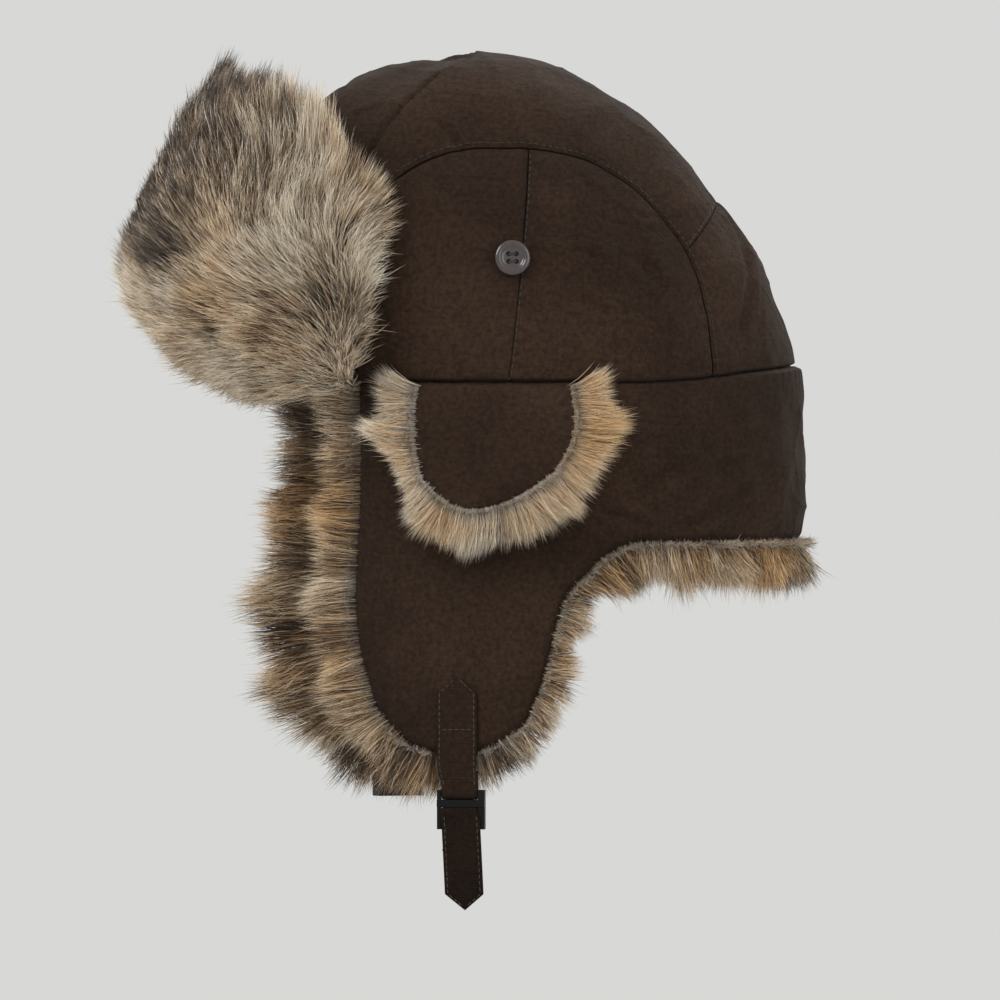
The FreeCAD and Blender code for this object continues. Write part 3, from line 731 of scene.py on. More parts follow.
def crown_offset(points):
    """How far the padded cloth stands off the crown's surface, in millimetres."""
    p = points
    folded = np.stack([np.abs(p[..., 0]), p[..., 1], p[..., 2]], -1)
    arc, a = pull(folded, ARC_LINE, 1.0, 0.9, 1)
    cross, b = pull(p, CROSS_LINE, 0.4, 0.9, 2)
    side, c = pull(folded, SIDE_LINE, 0.6, 0.8, 3, 0.22)
    hem = p[..., 2]
    rim = -2.6 * np.exp(-(hem / 0.8) ** 2)
    rim += 0.45 * uneven_wave(p[..., 1], 13, 2.4, 19) * beside(hem, 6, 1.6)
    away = np.minimum(np.minimum(arc, cross), np.minimum(side, hem + 1.5))
    pressed = smooth(72, 52, hem) * smooth(14, -2, p[..., 1])
    puff = (2.3 - 1.4 * pressed) * (1 - np.exp(-away / 15))
    lay = 1 - np.exp(-hem / 25)
    soft = 1.0 * ripples(p, 62, 11) * lay + 0.42 * ripples(p, 24, 12)
    thin = (1.0 * creases(p, 85, 13) + 0.5 * creases(p, 40, 14)) * (1 - np.exp(-away / 8))
    total = a + b + c + rim + puff + soft + thin
    for points_yz, width, depth in FOLDS:
        line = on_crown(curve(points_yz)(np.linspace(0, 1, 80)))
        total += fold(*nearest(folded, line), width, depth, 12)
    return total


def near_hem(steps):
    """Shares from 0 to 1 that lie closer together near 0, where the hem's groove is."""
    t = np.linspace(0, 1, steps)
    return t * (0.4 + 0.6 * t)


def straight(a, b):
    """The line between two points, as a function of 0..1."""
    return lambda t: a + (b - a) * np.asarray(t)[..., None]


def arc_part(start, end):
    """The side panel's arc between two angles, just inside its seam."""
    return lambda t: arc_at(start + (end - start) * np.asarray(t, float), SEAM_GAP)


def side_grid(start, corner, gap, steps=72):
    """Half of a side panel, from its seam to the arc.

    start is the arc's angle at the hem, and gap is the side seam's half width, in
    millimetres at the hem and in degrees at the arc.
    """
    foot = np.array([SEAM_FOOT - gap, 0.0])
    top = SEAM_TOP + gap
    high = arc_part(top, corner)
    hem, seam = straight(foot, arc_at(start, SEAM_GAP)), straight(foot, high(0.0))
    u, v = np.meshgrid(np.linspace(0, 1, steps), near_hem(steps), indexing="ij")
    return on_crown(coons(hem, high, seam, arc_part(start, corner))(u, v))


def strip_grid(hem, top, long, wide):
    """The centre strip between two angles, of which the first is at the hem."""
    angle, across = np.meshgrid(hem + (top - hem) * near_hem(long),
                                np.linspace(-1, 1, wide), indexing="ij")
    return strip_point(angle, across)


def on_cloth(path):
    """A path lifted to the outside of the crown's cloth, and its normals."""
    normal = crown_normal(path)
    return path + normal * (crown_offset(path) - crown_dip(path))[..., None], normal


def sunk(grid):
    """Places of the crown's slack cloth, and the crown's normals there."""
    normal = crown_normal(grid)
    return grid - normal * crown_dip(grid)[..., None], normal


def padding(name, base, normal, stand):
    """Shell and wadding of one crown panel."""
    body = slab(base + normal * stand[..., None], base - normal * CLOTH)
    return cloth_object(name, [body], SHELL)


def thin_lining(name, base, normal, wave):
    """Loose lining under the wadding of one crown panel."""
    body = slab(base + normal * (wave - LINING_TOP)[..., None], base - normal * LINING_BOTTOM)
    return cloth_object(name, [body], LINING)


def crown_strip():
    """The top and back panels, which make the strip over the middle, and their linings."""
    grids = {"top": strip_grid(180, CROSS_SEAM_ANGLE + 0.1, 239, 111),
             "back": strip_grid(0, CROSS_SEAM_ANGLE - 0.1, 91, 111)}
    for end, grid in grids.items():
        obj = padding("crown_%s_padded" % end, *sunk(grid), crown_offset(grid))
        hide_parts("crown_%s_panel" % end, "crown_wadding")
        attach(obj, "crown")
    for end, grid in grids.items():
        coarse = grid[::2, ::2]
        base, normal = sunk(coarse)
        obj = thin_lining("crown_%s_lining" % end, base, normal, lining_wave(coarse))
        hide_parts("crown_lining")
        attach(obj, "crown")
        lining(base - normal * LINING_BOTTOM)


def lining_wave(points):
    """Slack waves in the thin lining."""
    return 0.35 * ripples(points, 30, 5)


def crown_sides():
    """The rear and front panels of the crown's sides, and their linings."""
    for end, start, corner, gap in (("rear", 0, 45, -0.15), ("front", 180, 130, 0.15)):
        base, normal = sunk(side_grid(start, corner, gap))
        both(padding("side_%s_padded" % end, base, normal, crown_offset(base)), ride_crown,
             "SIDE_side_%s_panel" % end, "SIDE_crown_side_wadding", fill=0.35)
        thin = base[::2, ::2]

        def line(piece, side, sign, thin=thin, end=end):
            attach(piece, "crown")
            lining(thin)
        both(thin_lining("side_%s_lining" % end, thin, normal[::2, ::2], lining_wave(thin)),
             line, "SIDE_crown_side_lining")


def topstitch(name, rows):
    """Sewing thread along rows, each a path and its normals."""
    obj = new_object(name, *join([stitches(*row) for row in rows]), SEAM_THREAD)
    return obj


def crown_topstitch():
    """Rows of stitches beside the crown's seams."""
    strip_row = strip_point(np.linspace(2, 178, 600), np.ones(600), 1.3)
    side_row = on_crown(SIDE_LINE[4:-4, 1:] + np.array([1.0, 0]))
    both(topstitch("crown_topstitch", [on_cloth(strip_row), on_cloth(side_row)]), ride_crown)
    cross_row = strip_point(np.full(300, CROSS_SEAM_ANGLE + 0.8), np.linspace(-0.98, 0.98, 300))
    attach(topstitch("cross_seam_topstitch", [on_cloth(cross_row)]), "crown")


def sweat_band():
    """Padded band inside the forehead, with a stitched lower edge."""
    turn = np.radians(np.linspace(-50, -130, 120))[:, None]
    z = np.linspace(1, 31, 24)[None, :]
    x = HALF_WIDTH * power(np.cos(turn), 2 / ROUNDNESS) * (1 - 0.0006 * z)
    y = HALF_LENGTH * power(np.sin(turn), 2 / ROUNDNESS) - CROWN_LEAN * z
    x, y, z = np.broadcast_arrays(x, y, z)
    grid = np.stack([x, y, z], -1)
    normal = plan_normal(x, y + CROWN_LEAN * z)
    edge = np.minimum(z - 1, 31 - z)
    crowned = 0.9 * (1 - np.exp(-edge / 4))
    outer = grid - normal * 9.6
    inner = grid - normal * (10.2 + crowned)[..., None]
    obj = cloth_object("sweat_band_padded", [slab(outer, inner)], LINING)
    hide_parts("sweat_band")
    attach(obj, "crown")
    rows = [(inner[2:-2, k], -normal[2:-2, k]) for k in (2, -3)]
    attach(topstitch("sweat_band_topstitch", rows), "crown")


# Skirt: ear flaps, side curtains and neck curtain --------------------------------------

def skirt_curve(*points):
    """A curve on the unrolled skirt through (Y, Z) points."""
    return curve([(float(along(y)), z) for y, z in points])


def ear_patch(o=0.0):
    """Ear flap, grown by an overhang. Its rear side is shared with the curtain, then free."""
    c = EAR_CENTRE
    front = c - 44 - o
    low_front = (c - 35 - 0.7 * o, -164 - 0.7 * o)
    low_rear = (c + 36 + 0.7 * o, -171 - 0.7 * o)
    top = skirt_curve((c - 44 - 0.3 * o, SKIRT_TOP), (c, SKIRT_TOP), (REAR_LINE, SKIRT_TOP))
    bottom = skirt_curve(low_front, (c - 18 - 0.2 * o, -181 - o), (c, EAR_BOTTOM - o),
                         (c + 18 + 0.2 * o, -182 - o), low_rear)
    left = skirt_curve((c - 44 - 0.3 * o, SKIRT_TOP), (front, -70), (front, -130), low_front)
    free = skirt_curve((REAR_LINE, REAR_DROP), (-7.5 + 0.3 * o, -122),
                       (-13 + 0.4 * o, -146 - 0.2 * o), low_rear)
    foot = float(along(REAR_LINE))

    def right(v):
        v = np.asarray(v, float)
        line = np.stack([np.full_like(v, foot),
                         SKIRT_TOP + (REAR_DROP - SKIRT_TOP) * v / SHARED], -1)
        return np.where((v <= SHARED)[..., None], line, free((v - SHARED) / (1 - SHARED)))
    return coons(top, bottom, left, right)


def plumb(y, bottom):
    """A line straight down the skirt from its top, as a function of 0..1."""
    return lambda v: np.stack([np.full_like(v, along(y), dtype=float),
                               SKIRT_TOP + (bottom - SKIRT_TOP) * np.asarray(v)], -1)


def curtain_patch(o=0.0):
    """Side curtain, grown by an overhang."""
    top = skirt_curve((REAR_LINE, SKIRT_TOP), (40, SKIRT_TOP), (CUT_LINE, SKIRT_TOP))
    bottom = skirt_curve((REAR_LINE, REAR_DROP - o), (11.5, -92 - o), (27.5, -82 - o),
                         (50, HEM - o), (CUT_LINE, HEM - o))
    return coons(top, bottom, plumb(REAR_LINE, REAR_DROP - o), plumb(CUT_LINE, HEM - o))


def neck_patch(o=0.0):
    """Left half of the neck curtain, grown by an overhang."""
    def at(u, v):
        first = along(CUT_LINE)
        return np.stack([first + (BACK - first) * np.asarray(u),
                         SKIRT_TOP + (HEM - o - SKIRT_TOP) * np.asarray(v)], -1)
    return at


ROWS = near_hem(141)            # shares down the ear flap
SHARED_ROWS = 98                # rows where ear flap and side curtain are one
SHARED = ROWS[SHARED_ROWS - 1]
CURTAIN_ROWS = ROWS[:SHARED_ROWS] / SHARED
T = np.linspace(0, 1, 240)      # shares along each side of a patch


def flat_grid(patch, columns, rows):
    """Points of a flat patch at even columns and given rows."""
    u, v = np.meshgrid(np.linspace(0, 1, columns), rows, indexing="ij")
    return patch(u, v)


def outline():
    """The skirt's free edge on the left, from the top of its front to the centre back."""
    ear, curtain, neck = ear_patch(), curtain_patch(), neck_patch()
    one = np.ones_like(T)
    rear = ear(one, 1 - T)
    return np.concatenate([ear(0 * one, T), ear(T, one), rear[rear[:, 1] < REAR_DROP],
                           curtain(T, one), neck(T, one)])


OUTLINE = outline()

# Creases in the skirt's cloth: (Y, Z) points, width and depth
SKIRT_FOLDS = (
    (((6, -78), (26, -60), (50, -46), (70, -38)), 3.2, 1.0),
    (((8, -60), (26, -67), (42, -73)), 2.0, 1.4),
    (((52, -76), (72, -67), (96, -49)), 2.8, 1.5),
    (((-30, -58), (-12, -66), (4, -70)), 3.0, 0.9),
    (((-66, -70), (-60, -110), (-64, -140)), 9.0, 0.7),
    (((-20, -66), (-30, -110), (-34, -150)), 8.0, 0.6),
    (((60, -70), (88, -60), (112, -66)), 7.0, 0.6),
    (((40, -8), (46, -30), (42, -60)), 7.0, 0.6),
    (((98, -6), (102, -34), (100, -70)), 8.0, 0.7),
)
EDGE_ROLL = 4.6                 # radius of the skirt's padded edge


def skirt_offset(flat):
    """How far the skirt's padded cloth stands off its surface."""
    edge, length = nearest(flat, OUTLINE)
    top = SKIRT_TOP - flat[..., 1]
    pucker = 0.4 * uneven_wave(length, 8.5, 2.4, 27.0) * beside(edge, 8, 2)
    puff = 1.7 * (1 - np.exp(-edge / 16)) * (1 - np.exp(-top / 12))
    rim = -2.4 * np.exp(-(top / 0.8) ** 2)
    hem_pucker = 0.35 * uneven_wave(flat[..., 0], 9, 2, 21) * beside(top, 7, 1.5)
    soft = 1.0 * ripples(flat, 60, 21) + 0.42 * ripples(flat, 22, 22)
    thin = 1.0 * creases(flat, 80, 23) + 0.5 * creases(flat, 38, 24)
    calm = (1 - np.exp(-edge / 8)) * (1 - np.exp(-top / 8))
    total = (puff + rim + pucker + hem_pucker + (soft + thin) * calm
             - edge_roll(edge, EDGE_ROLL))
    for points, width, depth in SKIRT_FOLDS:
        line = skirt_curve(*points)(np.linspace(0, 1, 60))
        total += fold(*nearest(flat, line), width, depth, 14)
    return total


def padded_sheet(flat, open_sides=""):
    """Padded cloth over a grid of the unrolled skirt."""
    offset = skirt_offset(flat)
    outer, _ = skirt(flat, -offset)
    inner, _ = skirt(flat, np.full(offset.shape, CLOTH))
    return slab(outer, inner, open_sides)


def vent_cutter():
    """Oval prism through the ear flap, in metres."""
    y, z, half_width, half_height = VENT
    centre, normal = skirt(np.array([along(y), z]))
    tangent = np.array([-normal[1], normal[0], 0.0])
    turn = np.linspace(0, 2 * np.pi, 41)[:-1]
    ring = (centre + np.cos(turn)[:, None] * half_width * tangent
            + np.sin(turn)[:, None] * half_height * np.array([0, 0, 1.0]))
    bm = bmesh.new()
    ends = []
    for shift in (-30.0, 30.0):
        ends.append([bm.verts.new((p + normal * shift) * MM) for p in ring])
    bm.faces.new(ends[0])
    bm.faces.new(ends[1])
    for k in range(40):
        n = (k + 1) % 40
        bm.faces.new((ends[0][k], ends[0][n], ends[1][n], ends[1][k]))
    bmesh.ops.recalc_face_normals(bm, faces=bm.faces)
    mesh = bpy.data.meshes.new("vent_cutter")
    bm.to_mesh(mesh)
    bm.free()
    cutter = bpy.data.objects.new("vent_cutter", mesh)
    bpy.context.scene.collection.objects.link(cutter)
    return cutter


def vent_ring(share, stand):
    """Closed path round the ear vent, grown by a share and standing off the skirt."""
    y, z, half_width, half_height = VENT
    turn = np.linspace(0, 2 * np.pi, 97)
    across = along(y) + np.cos(turn) * half_width * share
    return skirt(np.stack([across, z + np.sin(turn) * half_height * share], -1),
                 np.full(97, -stand))


def vent_binding():
    """Rolled binding with a row of stitches round the hole that lets sound in."""
    path, _ = vent_ring(1.04, 1.6)
    obj = new_object("vent_binding", *tube(path, 1.25, 12), STRAP)
    both(obj, follow_ear)
    both(topstitch("vent_stitches", [vent_ring(1.24, 2.3)]), follow_ear)


def follow_ear(piece, side, sign):
    """Apply the piece's placement to its mesh."""
    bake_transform(piece)


def follow_neck(piece, side, sign):
    """Apply the piece's placement to its mesh."""
    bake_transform(piece)


def skirt_cloth():
    """Padded cloth of the ear flaps, side curtains and neck curtain."""
    ear = flat_grid(ear_patch(), 72, ROWS)
    curtain = flat_grid(curtain_patch(), 60, CURTAIN_ROWS)
    obj = cloth_object("skirt_cloth", [padded_sheet(ear, "l"), free_edge(ear),
                                       padded_sheet(curtain, "f")], SHELL)
    carve(obj, vent_cutter())
    both(obj, follow_ear, "SIDE_ear_flap_shell", "SIDE_ear_flap_wadding",
         "SIDE_side_curtain_shell", "SIDE_side_curtain_wadding", fill=0.35)
    neck = flat_grid(neck_patch(), 64, CURTAIN_ROWS)
    both(cloth_object("neck_cloth", [padded_sheet(neck)], SHELL), follow_neck,
         "neck_curtain_shell", "neck_curtain_wadding", fill=0.35)


def free_edge(ear):
    """Wall along the ear flap's free rear edge, below where the curtain joins it."""
    line = ear[-1, SHARED_ROWS - 1:]
    outer, _ = skirt(line, -skirt_offset(line))
    inner, _ = skirt(line, np.full(len(line), CLOTH))
    n = len(line)
    a = np.arange(n - 1)
    return np.concatenate([outer, inner]), np.stack([a, a + 1, a + 1 + n, a + n], -1)


# Ear covers ----------------------------------------------------------------------------

def cover_patch(o=0.0):
    """Ear cover, grown by an overhang."""
    c = COVER_CENTRE
    low_front = (c - 34 - 0.6 * o, -48 - 0.8 * o)
    low_rear = (c + 28 + 0.8 * o, -45 - 0.8 * o)
    top = skirt_curve((c - 37 - o, -2), (c, -2), (c + 37 + o, -2))
    bottom = skirt_curve(low_front, (c - 17 - 0.2 * o, -63 - 1.1 * o),
                         (c + 9 + 0.1 * o, -58 - 1.3 * o), low_rear)
    left = skirt_curve((c - 37 - o, -2), (c - 38 - o, -24), low_front)
    right = skirt_curve((c + 37 + o, -2), (c + 38 + o, -24), low_rear)
    return coons(top, bottom, left, right)


COVER_CLOTH = 2.6       # thickness of the cover's padded cloth


def cover_stand(flat):
    """How far the cover's underside stands off the ear flap."""
    return 1.3 + 10.5 * (1 - np.exp(flat[..., 1] / 28))


def cover_outline(o=0.0):
    """The cover's free edge, from the top of its front."""
    patch = cover_patch(o)
    one = np.ones_like(T)
    return np.concatenate([patch(0 * one, T), patch(T, one), patch(one, 1 - T)])


def ear_cover():
    """Padded cloth of the covers, which hang clear of the ear flaps."""
    flat = flat_grid(cover_patch(), 64, np.linspace(0, 1, 60))
    edge, length = nearest(flat, cover_outline())
    stand = (cover_stand(flat) + COVER_CLOTH + 1.0 * (1 - np.exp(-edge / 12))
             - edge_roll(edge, COVER_CLOTH)
             + 0.35 * uneven_wave(length, 7, 2, 19) * beside(edge, 6, 1.5)
             + (0.8 * ripples(flat, 46, 31) + 0.4 * creases(flat, 50, 32))
             * (1 - np.exp(-edge / 6)))
    outer, _ = skirt(flat, -stand)
    inner, _ = skirt(flat, -cover_stand(flat))
    both(cloth_object("ear_cover_cloth", [slab(outer, inner)], SHELL),
         ride_cover, "SIDE_ear_cover_shell", fill=0.25)


def ride_cover(piece, side, sign):
    """Move with an ear cover."""
    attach(piece, side + "_ear_cover")


# Front flap ----------------------------------------------------------------------------

def flap_grid(across_reach, low, high, wide, tall):
    """Places on the front flap, in rows."""
    across, rise = np.meshgrid(np.linspace(-across_reach, across_reach, wide),
                               np.linspace(low, high, tall), indexing="ij")
    return across, rise


def front_flap_cloth():
    """Padded cloth of the front flap, which rolls over at its edge."""
    across, rise = flap_grid(1.0, 0.0, 1.0, 120, 76)
    points = flap_point(across, rise)
    normal, _, _ = flap_frame(across, rise)
    edge = np.minimum((1 - np.abs(across)) * FLAP_REACH, (1 - rise) * 110)
    soft = 0.8 * ripples(points, 48, 41) * (1 - np.exp(-edge / 8))
    sink = edge_roll(edge, 3.5) - 0.6 * (1 - np.exp(-edge / 12)) - soft * 0.5
    body = slab(points + normal * sink[..., None], points + normal * CLOTH)
    obj = cloth_object("front_flap_cloth", [body], SHELL)
    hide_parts("front_flap_shell", "front_flap_wadding")
    follow_front(obj)


def follow_front(piece):
    """Apply the piece's placement to its mesh."""
    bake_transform(piece)


# Fur -----------------------------------------------------------------------------------

WOOL_DEPTH = 5.5            # of the bed of short wool on the cloth
STRANDS_IN_ONE = 11800      # so that a piece stays under 200,000 triangles
STRAND_SHARES = (0.0, 0.38, 0.74, 1.0)      # of its length, at its three rings and its tip
STRAND_POINTS = 10


def field_columns(tone, warmth, rng):
    """Palette column of each strand, from its tone and warmth of 0..1."""
    tone = np.clip(tone + rng.normal(0, 0.22, len(tone)), 0.02, 0.97)
    warm = np.clip(warmth + rng.normal(0, 0.16, len(tone)), 0, 0.999)
    column = np.minimum((tone * TONES).astype(int), TONES - 1)
    return np.minimum((warm * BLOCKS).astype(int), BLOCKS - 1) * TONES + column


def strand_paths(root, start, finish, length):
    """Points along each strand, which turns evenly from one direction to another."""
    out = []
    for t in STRAND_SHARES:
        out.append(root + length[:, None] * (start * (t - t * t / 2) + finish * (t * t / 2)))
    return np.stack(out, 1)


def clump(paths, root, rng, size, pull):
    """Draw neighbouring strands together towards their tips."""
    leaders = rng.choice(len(root), max(1, len(root) // size), replace=False)
    tree = kdtree.KDTree(len(leaders))
    for k, leader in enumerate(leaders):
        tree.insert(Vector(root[leader]), k)
    tree.balance()
    found = np.array([tree.find(Vector(p))[1] for p in root])
    chosen = leaders[found]
    strength = np.clip(rng.normal(pull, 0.2, len(root)), 0, 0.95)
    strength[rng.random(len(root)) < 0.14] = 0
    weight = strength[:, None] * np.array(STRAND_SHARES)[None] ** 1.4
    return paths + weight[..., None] * (paths[chosen] - paths), found


def fur(name, root, start, finish, length, tone, warmth, seed, radius=0.17, size=7,
        pull=0.5, ripe=1.0):
    """Objects of up to STRANDS_IN_ONE tapered strands each.

    ripe is the share of the palette's length they use: short wool stays grey.
    """
    rng = np.random.default_rng(seed)
    n = len(root)
    length = length * rng.uniform(0.72, 1.15, n)
    start = unit(start + rng.normal(0, 0.13, (n, 3)))
    finish = unit(finish + rng.normal(0, 0.24, (n, 3)))
    paths = strand_paths(root, start, finish, length)
    paths, group = clump(paths, root, rng, size, pull)
    shade = rng.normal(0, 0.21, group.max() + 1)[group]
    columns = field_columns(tone + shade, warmth, rng)
    thick = radius * rng.uniform(0.6, 1.25, n)
    forward = unit(np.gradient(paths, axis=1))
    helper = unit(rng.normal(size=(n, 1, 3)))
    side = unit(np.cross(forward, helper))
    other = np.cross(forward, side)
    rings = []
    for k, share in enumerate((0.85, 1.0, 0.62)):
        for turn in (0.0, 2 * math.pi / 3, 4 * math.pi / 3):
            reach = (thick * share)[:, None]
            rings.append(paths[:, k] + reach * (side[:, k] * math.cos(turn)
                                                + other[:, k] * math.sin(turn)))
    rings.append(paths[:, 3])
    vertices = np.stack(rings, 1)
    faces, uv = strand_pattern()
    order = rng.permutation(n)
    pieces = []
    for part, first in enumerate(range(0, n, STRANDS_IN_ONE)):
        chosen = order[first:first + STRANDS_IN_ONE]
        count = len(chosen)
        index = faces[None] + (np.arange(count) * STRAND_POINTS)[:, None, None]
        spread = uv[None].repeat(count, 0)
        spread[..., 1] *= ripe
        column = columns[chosen][:, None, None]
        spread[..., 0] = (column + 0.04 + 0.92 * spread[..., 0]) / (TONES * BLOCKS)
        label = name if n <= STRANDS_IN_ONE else name + "_" + "abcdefgh"[part]
        obj = new_object(label, vertices[chosen].reshape(-1, 3), index.reshape(-1, 3), HAIR,
                         spread.reshape(-1, 2))
        pieces.append(obj)
    return pieces


def strand_pattern():
    """Triangles of one strand of three rings and a tip, with their palette places."""
    faces, uv = [], []
    for ring in (0, 1):
        for k in range(3):
            a, b = ring * 3 + k, ring * 3 + (k + 1) % 3
            c, d = a + 3, b + 3
            low, high = STRAND_SHARES[ring], STRAND_SHARES[ring + 1]
            faces += [(a, b, d), (a, d, c)]
            uv += [((0, low), (1, low), (1, high)), ((0, low), (1, high), (0, high))]
    for k in range(3):
        faces.append((6 + k, 6 + (k + 1) % 3, 9))
        uv.append(((0, STRAND_SHARES[2]), (1, STRAND_SHARES[2]), (0.5, 1.0)))
    faces.append((2, 1, 0))
    uv.append(((0, 0.0), (1, 0.0), (0.5, 0.03)))
    return np.array(faces), np.array(uv, float)


def darken(piece, steps):
    """Move strands on to darker columns of their own block in the palette, to paint shade on
    them.
    """
    layer = piece.data.uv_layers["OFBake"].data
    uv = np.empty(len(layer) * 2, np.float32)
    layer.foreach_get("uv", uv)
    column = np.floor(uv[::2] * TONES * BLOCKS)
    block = np.floor(column / TONES) * TONES
    darker = block + np.minimum(column % TONES + steps, TONES - 1)
    uv[::2] += (darker - column) / (TONES * BLOCKS)
    layer.foreach_set("uv", uv)


def lengthen(piece):
    """Longer strands at the front edge of the side that is seen from within."""
    co = np.empty(len(piece.data.vertices) * 3, np.float32)
    piece.data.vertices.foreach_get("co", co)
    strands = co.reshape(-1, STRAND_POINTS, 3)
    root = strands[:, :3].mean(1, keepdims=True)
    front = smooth(-0.078, -0.098, root[..., 1:2])
    more = 1 + (0.16 + 0.22 * smooth(-0.05, -0.11, root[..., 2:3])) * front
    piece.data.vertices.foreach_set("co", (root + (strands - root) * more).ravel())


def scatter(patch, count, rng, cells=89):
    """Even random places on a flat patch, as (length, Z)."""
    share = np.linspace(0.0, 1.0, cells + 1)
    u, v = np.meshgrid(share, share, indexing="ij")
    grid = patch(u, v)
    du, dv = grid[1:, :-1] - grid[:-1, :-1], grid[:-1, 1:] - grid[:-1, :-1]
    area = np.abs(du[..., 0] * dv[..., 1] - du[..., 1] * dv[..., 0]).ravel()
    cell = rng.choice(len(area), count, p=area / area.sum())
    i, j = np.divmod(cell, cells)
    a = u[i, j] + rng.random(count) * (u[1, 0] - u[0, 0])
    b = v[i, j] + rng.random(count) * (v[0, 1] - v[0, 0])
    return patch(np.clip(a, 0, 1), np.clip(b, 0, 1))


def edge_normals(line):
    """Unit normals of a flat line, pointing to its right-hand side."""
    step = unit(np.gradient(line, axis=0))
    return np.stack([step[:, 1], -step[:, 0]], -1)


def rim_roots(line, count, rng, depth):
    """Places just inside a flat outline, and the outline's outward direction there."""
    reach = lengths(line)
    place = rng.random(count) * reach[-1]
    way = unit(at_length(place, reach, edge_normals(line)))
    return at_length(place, reach, line) - way * (rng.random(count) ** 1.3 * depth)[:, None], way


def spread_out(flat, way):
    """A flat direction (length, Z) as a direction in space, and the outward normal."""
    _, normal = skirt(flat)
    tangent = np.stack([-normal[:, 1], normal[:, 0], np.zeros(len(flat))], -1)
    return tangent * way[:, :1] + np.array([0, 0, 1.0]) * way[:, 1:], normal


def inner_strands(patches, counts, line, rng, seed):
    """Strands all over the inside: their flat places, roots and two directions."""
    flat = np.concatenate([scatter(p, c, rng) for p, c in zip(patches, counts)])
    edge, reach = nearest(flat, line)
    way = unit(at_length(reach, lengths(line), edge_normals(line)))
    lean = np.exp(-edge / 9)[:, None]
    flow = unit(np.stack([-0.35 + 0.3 * ripples(flat, 70, seed), -np.ones(len(flat))], -1))
    ahead, normal = spread_out(flat, unit(way * lean + flow * (1 - lean)))
    start = ahead * 0.75 - normal * (0.75 - 0.3 * lean)
    finish = ahead * 1.0 - normal * (0.35 - 0.25 * lean)
    root, _ = skirt(flat, rng.uniform(CLOTH - 0.3, CLOTH + 3.0, len(flat)))
    return flat, root, start, finish


def rim_strands(line, count, rng, seed):
    """The same for the fringe that leans out past the edge, and its extra length."""
    flat, way = rim_roots(line, count, rng, 6.0)
    ahead, normal = spread_out(flat, way)
    face = smooth(0.3, 0.9, -way[:, :1]) * smooth(20, -40, flat[:, :1])
    turn = rng.uniform(-1.0, 0.7, (len(flat), 1)) - (0.2 + 1.4 * face)
    sway = spread_out(flat, np.stack([-way[:, 1], way[:, 0]], -1))[0]
    bend = (0.45 * ripples(flat, 40, seed + 1))[:, None]
    under_strap = smooth(15, 11.5, np.abs(flat[:, 0] - along(STRAP_Y))) * (flat[:, 1] < -150)
    turn = turn + (rng.uniform(0.3, 0.9, (len(flat), 1)) - turn) * under_strap[:, None]
    start = ahead - normal * 0.55 * turn
    finish = ahead * 0.9 + sway * bend - normal * 0.5 * turn
    root, _ = skirt(flat, rng.uniform(2.6, CLOTH + 5.0, len(flat)) + 3.0 * under_strap)
    rear = (smooth(0.1, 0.7, way[:, 0]) * smooth(-86, -100, flat[:, 1])
            * (flat[:, 0] < along(25)))
    more = 1.42 + 0.16 * face[:, 0] * smooth(-20, -130, flat[:, 1]) - 0.42 * rear
    return flat, root, start, finish, more


def skirt_fur_part(name, patches, line, counts, seed, follow, replaced, length=19.0,
                   skip_vent=False):
    """Fur on the inside of a skirt piece, and the fringe that leans out past its edge."""
    rng = np.random.default_rng(seed)
    inner = inner_strands(patches, counts[:-1], line, rng, seed)
    *rim, more = rim_strands(line, counts[-1], rng, seed)
    flat, root, start, finish = [np.concatenate(pair) for pair in zip(inner, rim)]
    fringe = slice(len(inner[0]), None)
    keep = np.ones(len(flat), bool)
    if skip_vent:
        y = np.interp(flat[:, 0], ALONG, PLAN[:, 1])
        keep = ((y - VENT[0]) / (VENT[2] + 1)) ** 2 + ((flat[:, 1] - VENT[1])
                                                       / (VENT[3] + 1)) ** 2 > 1
    long = length * (1 + 0.16 * ripples(flat, 26, seed + 2))
    long[fringe] *= more
    tone = 0.56 + 0.17 * ripples(flat, 34, seed + 3) + 0.12 * ripples(flat, 12, seed + 4)
    tone[fringe] -= 0.16
    warmth = 0.50 + 0.25 * ripples(flat, 60, seed + 5)
    pieces = fur(name, root[keep], start[keep], finish[keep], long[keep], tone[keep],
                 warmth[keep], seed)
    pieces += fuzz(name + "_fuzz", line, counts[-1] // 6, lambda p: 1.0 + 0 * p[:, 0], rng,
                   seed)

    def place(piece, side, sign):
        # The right side's fur, seen from within the hat, moves one tone darker as painted shade.
        if side == "right":
            darken(piece, 1)
            lengthen(piece)
        follow(piece, side, sign)
    for piece in pieces:
        both(piece, place, *replaced)


def fuzz(name, line, count, depth, rng, seed, longest=12.5):
    """Short grey wool that curls from behind an edge back over the cloth."""
    edge, way = rim_roots(line, count, rng, 0.6)
    ahead, normal = spread_out(edge, way)
    root, _ = skirt(edge + way * 0.8, depth(edge))
    clear = np.abs(edge[:, 0] - along(STRAP_Y)) > 12
    clear |= edge[:, 1] > -120
    back = rng.uniform(-0.2, 0.75, (len(edge), 1))
    start = normal * 0.9 + ahead * 0.35
    finish = normal * 0.5 - ahead * back
    length = rng.uniform(0.45, 1.0, len(edge)) * longest
    tone = 0.20 + 0.25 * ripples(edge, 25, seed + 7)
    warmth = np.full(len(edge), 0.12)
    return fur(name, root[clear], start[clear], finish[clear], length[clear], tone[clear],
               warmth[clear], seed + 8, radius=0.11, pull=0.25, ripe=0.5)


